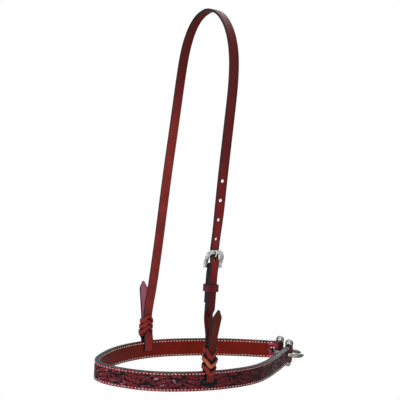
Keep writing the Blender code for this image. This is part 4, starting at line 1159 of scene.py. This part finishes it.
# Painted shade: a darker copy of the bridle grain for the buckle strap's grain side.
shaded_grain_finish = crease_and_shade(dyed_leather("grain_in_painted_shade", (0.105, 0.006, 0.006), (0.06, 0.003, 0.003), 0.4, 0.6,
                                        0.16))
brown_flesh_finish = dyed_leather("brown_flesh", (0.11, 0.021, 0.013), (0.07, 0.011, 0.008), 0.66, 1.5, 0.0,
                                  True)
set_piece(bm, "buckle_strap_leather",
          [shaded_grain_finish, stub_flesh_finish, black_edge_finish, brown_flesh_finish],
          "hanger", ["buckle_strap"], 40)
plait_knot(near, -5.4, 0.8, "near_knot_strands",
           ((9.6, 8.5, 5.0, 9.4, 8.4, -1.2, 0.35, 0), (20.0, 8.5, 5.0, 9.8, 10.2, -2.6, 0.85, 0),
            (30.6, 10.0, 4.0, 8.6, 8.4, -3.0, 0.2, 0)))
stitch_line = [stack_spot(rise, STITCH_OUT, across) for rise, across in (
    (-15, 3.95), (-30, 3.95), (-42.6, 3.95), (-43.4, 3.1), (-43.4, 0), (-43.4, -3.1), (-42.6, -3.95),
    (-30, -3.95), (-15, -3.95))]
stitch_points = np.array([first + (last - first) * share for first, last in zip(stitch_line, stitch_line[1:])
                          for share in np.linspace(0, 1, 9)[:-1]] + [stitch_line[-1]])
turn_stitch_path = LeatherPath(stitch_points, np.cross(np.gradient(stitch_points, axis=0), stack_out))
set_piece(sew_row(turn_stitch_path, 0, 1, 4.0 * MM, 2.5 * MM, 6), "turned_end_stitches", [thread_finish],
          "hanger", ["turn_stitching"], 80)


# Buckle
# A cast horseshoe buckle for half inch straps, nickel plated, with softly rounded bars. The
# tongue is flat wire bent round the heel bar.
HALF_FRAME = 11.4
FRAME_STEP, FRAME_RUN = 5.5, 13.2
FRAME_BAR = (6.0 * MM, 2.3 * MM)
TONGUE_WIRE = (2.4 * MM, 1.2 * MM)


def frame_spot(across, rise):
    """Middle of the frame and the direction out of its face."""
    share = min(max(rise / FRAME_RUN, 0), 1)
    level = BAR_OUT + FRAME_STEP * ease(rise, 0, FRAME_RUN)
    slope = FRAME_STEP * 6 * share * (1 - share) / FRAME_RUN
    out = stack_out - stack_up * slope
    return stack_spot(rise, level, across), out / np.linalg.norm(out)


frame_line = [(HALF_FRAME, rise) for rise in (-4.0, -2.0, 0.0, 2.2)]
for turn in np.radians(np.linspace(0, 180, 37)):
    rise = 4.5 + 12.4 * math.sin(turn) ** (2 / 3.4)
    across = HALF_FRAME * keep_sign(math.cos(turn), 2 / 3.4)
    frame_line.append((across - 0.9 * math.exp(-((rise - 11.5) / 4.5) ** 2), rise))
frame_line += [(-a, b) for a, b in frame_line[3::-1]]
frame_points, frame_outs = zip(*[frame_spot(a + 0.4, b) for a, b in frame_line])
frame_path = facing_path(frame_points, frame_outs, 0.6 * MM)
bm = cut_strap(frame_path.length, *FRAME_BAR, 0.8 * MM, 1.0 * MM, looks=(0, 0, 0))
for vert in bm.verts:
    near_end = min(vert.co.x, frame_path.length - vert.co.x) / MM
    eye, waist = math.exp(-((near_end - 1.2) / 1.0) ** 2), math.exp(-((near_end - 4.5) / 2.4) ** 2)
    vert.co.y *= 1 + 0.08 * eye - 0.12 * waist
frame_path.lay(bm)
rod = bmesh.ops.create_cone(bm, cap_ends=True, segments=24, radius1=1.3 * MM, radius2=1.3 * MM, depth=23 * MM)
bmesh.ops.rotate(bm, verts=rod["verts"], cent=(0, 0, 0), matrix=Matrix.Rotation(math.pi / 2 + lean, 3, "Y"))
bmesh.ops.translate(bm, verts=rod["verts"], vec=heel_bar)
set_piece(bm, "horseshoe_frame", [nickel_finish], "buckle", ["buckle_frame"], 40)

tongue_points = [*round_bar(40, -270, 25), *[stack_spot(rise, out) for rise, out in (
    (3.06, -1.76), (5.6, -2.2), (7.5, -1.5), (9.0, 0.2), (10.6, 2.0), (12.3, 3.3), (13.3, 3.6), (18.8, 3.6))]]
tongue_path = LeatherPath(curve_through(tongue_points, 0.5 * MM), hanger_across)
bm = cut_strap(tongue_path.length, *TONGUE_WIRE, 0.6 * MM, 0.5 * MM, looks=(0, 0, 0))
for vert in bm.verts:
    vert.co.y *= 0.6 + 0.4 * min((tongue_path.length - vert.co.x) / (3 * MM), 1)
tongue_path.lay(bm)
set_piece(bm, "wire_tongue", [nickel_finish], "tongue", ["buckle_tongue"], 40)


# Keeper
# A narrow leather loop, butted and sewn at the back, that holds the crown strap's point down
# on the buckle strap. It slides along both.
KEEPER_STRIP = (9.6 * MM, 2.0 * MM)
KEEPER_HALF_WIDTH = 6.35 + 0.9 + 1.0
KEEPER_HALF_DEPTH = 4.6 + 0.4 + 0.9
keeper_middle = stack_spot(9 - 39.5, -3.0)
keeper_line = []
for turn in np.radians(np.linspace(0, 360, 73)):
    across = KEEPER_HALF_WIDTH * keep_sign(math.cos(turn), 0.22)
    out = KEEPER_HALF_DEPTH * keep_sign(math.sin(turn), 0.22)
    keeper_line.append(keeper_middle + (hanger_across * across + stack_out * out) * MM)
keeper_path = LeatherPath(soften(curve_through(keeper_line, 0.6 * MM), 2), stack_up)
bm = cut_strap(keeper_path.length, *KEEPER_STRIP, 0.8 * MM, 0.6 * MM, 0.9 * MM, looks=(0, 0, 1))
keeper_path.lay(bm)
keeper_finish = dyed_leather("dark_keeper", (0.12, 0.008, 0.015), (0.022, 0.002, 0.003), 0.36, 0.6, 0.15)
set_piece(bm, "keeper_leather", [keeper_finish, black_edge_finish], "keeper",
          ["keeper_loop"], 50)
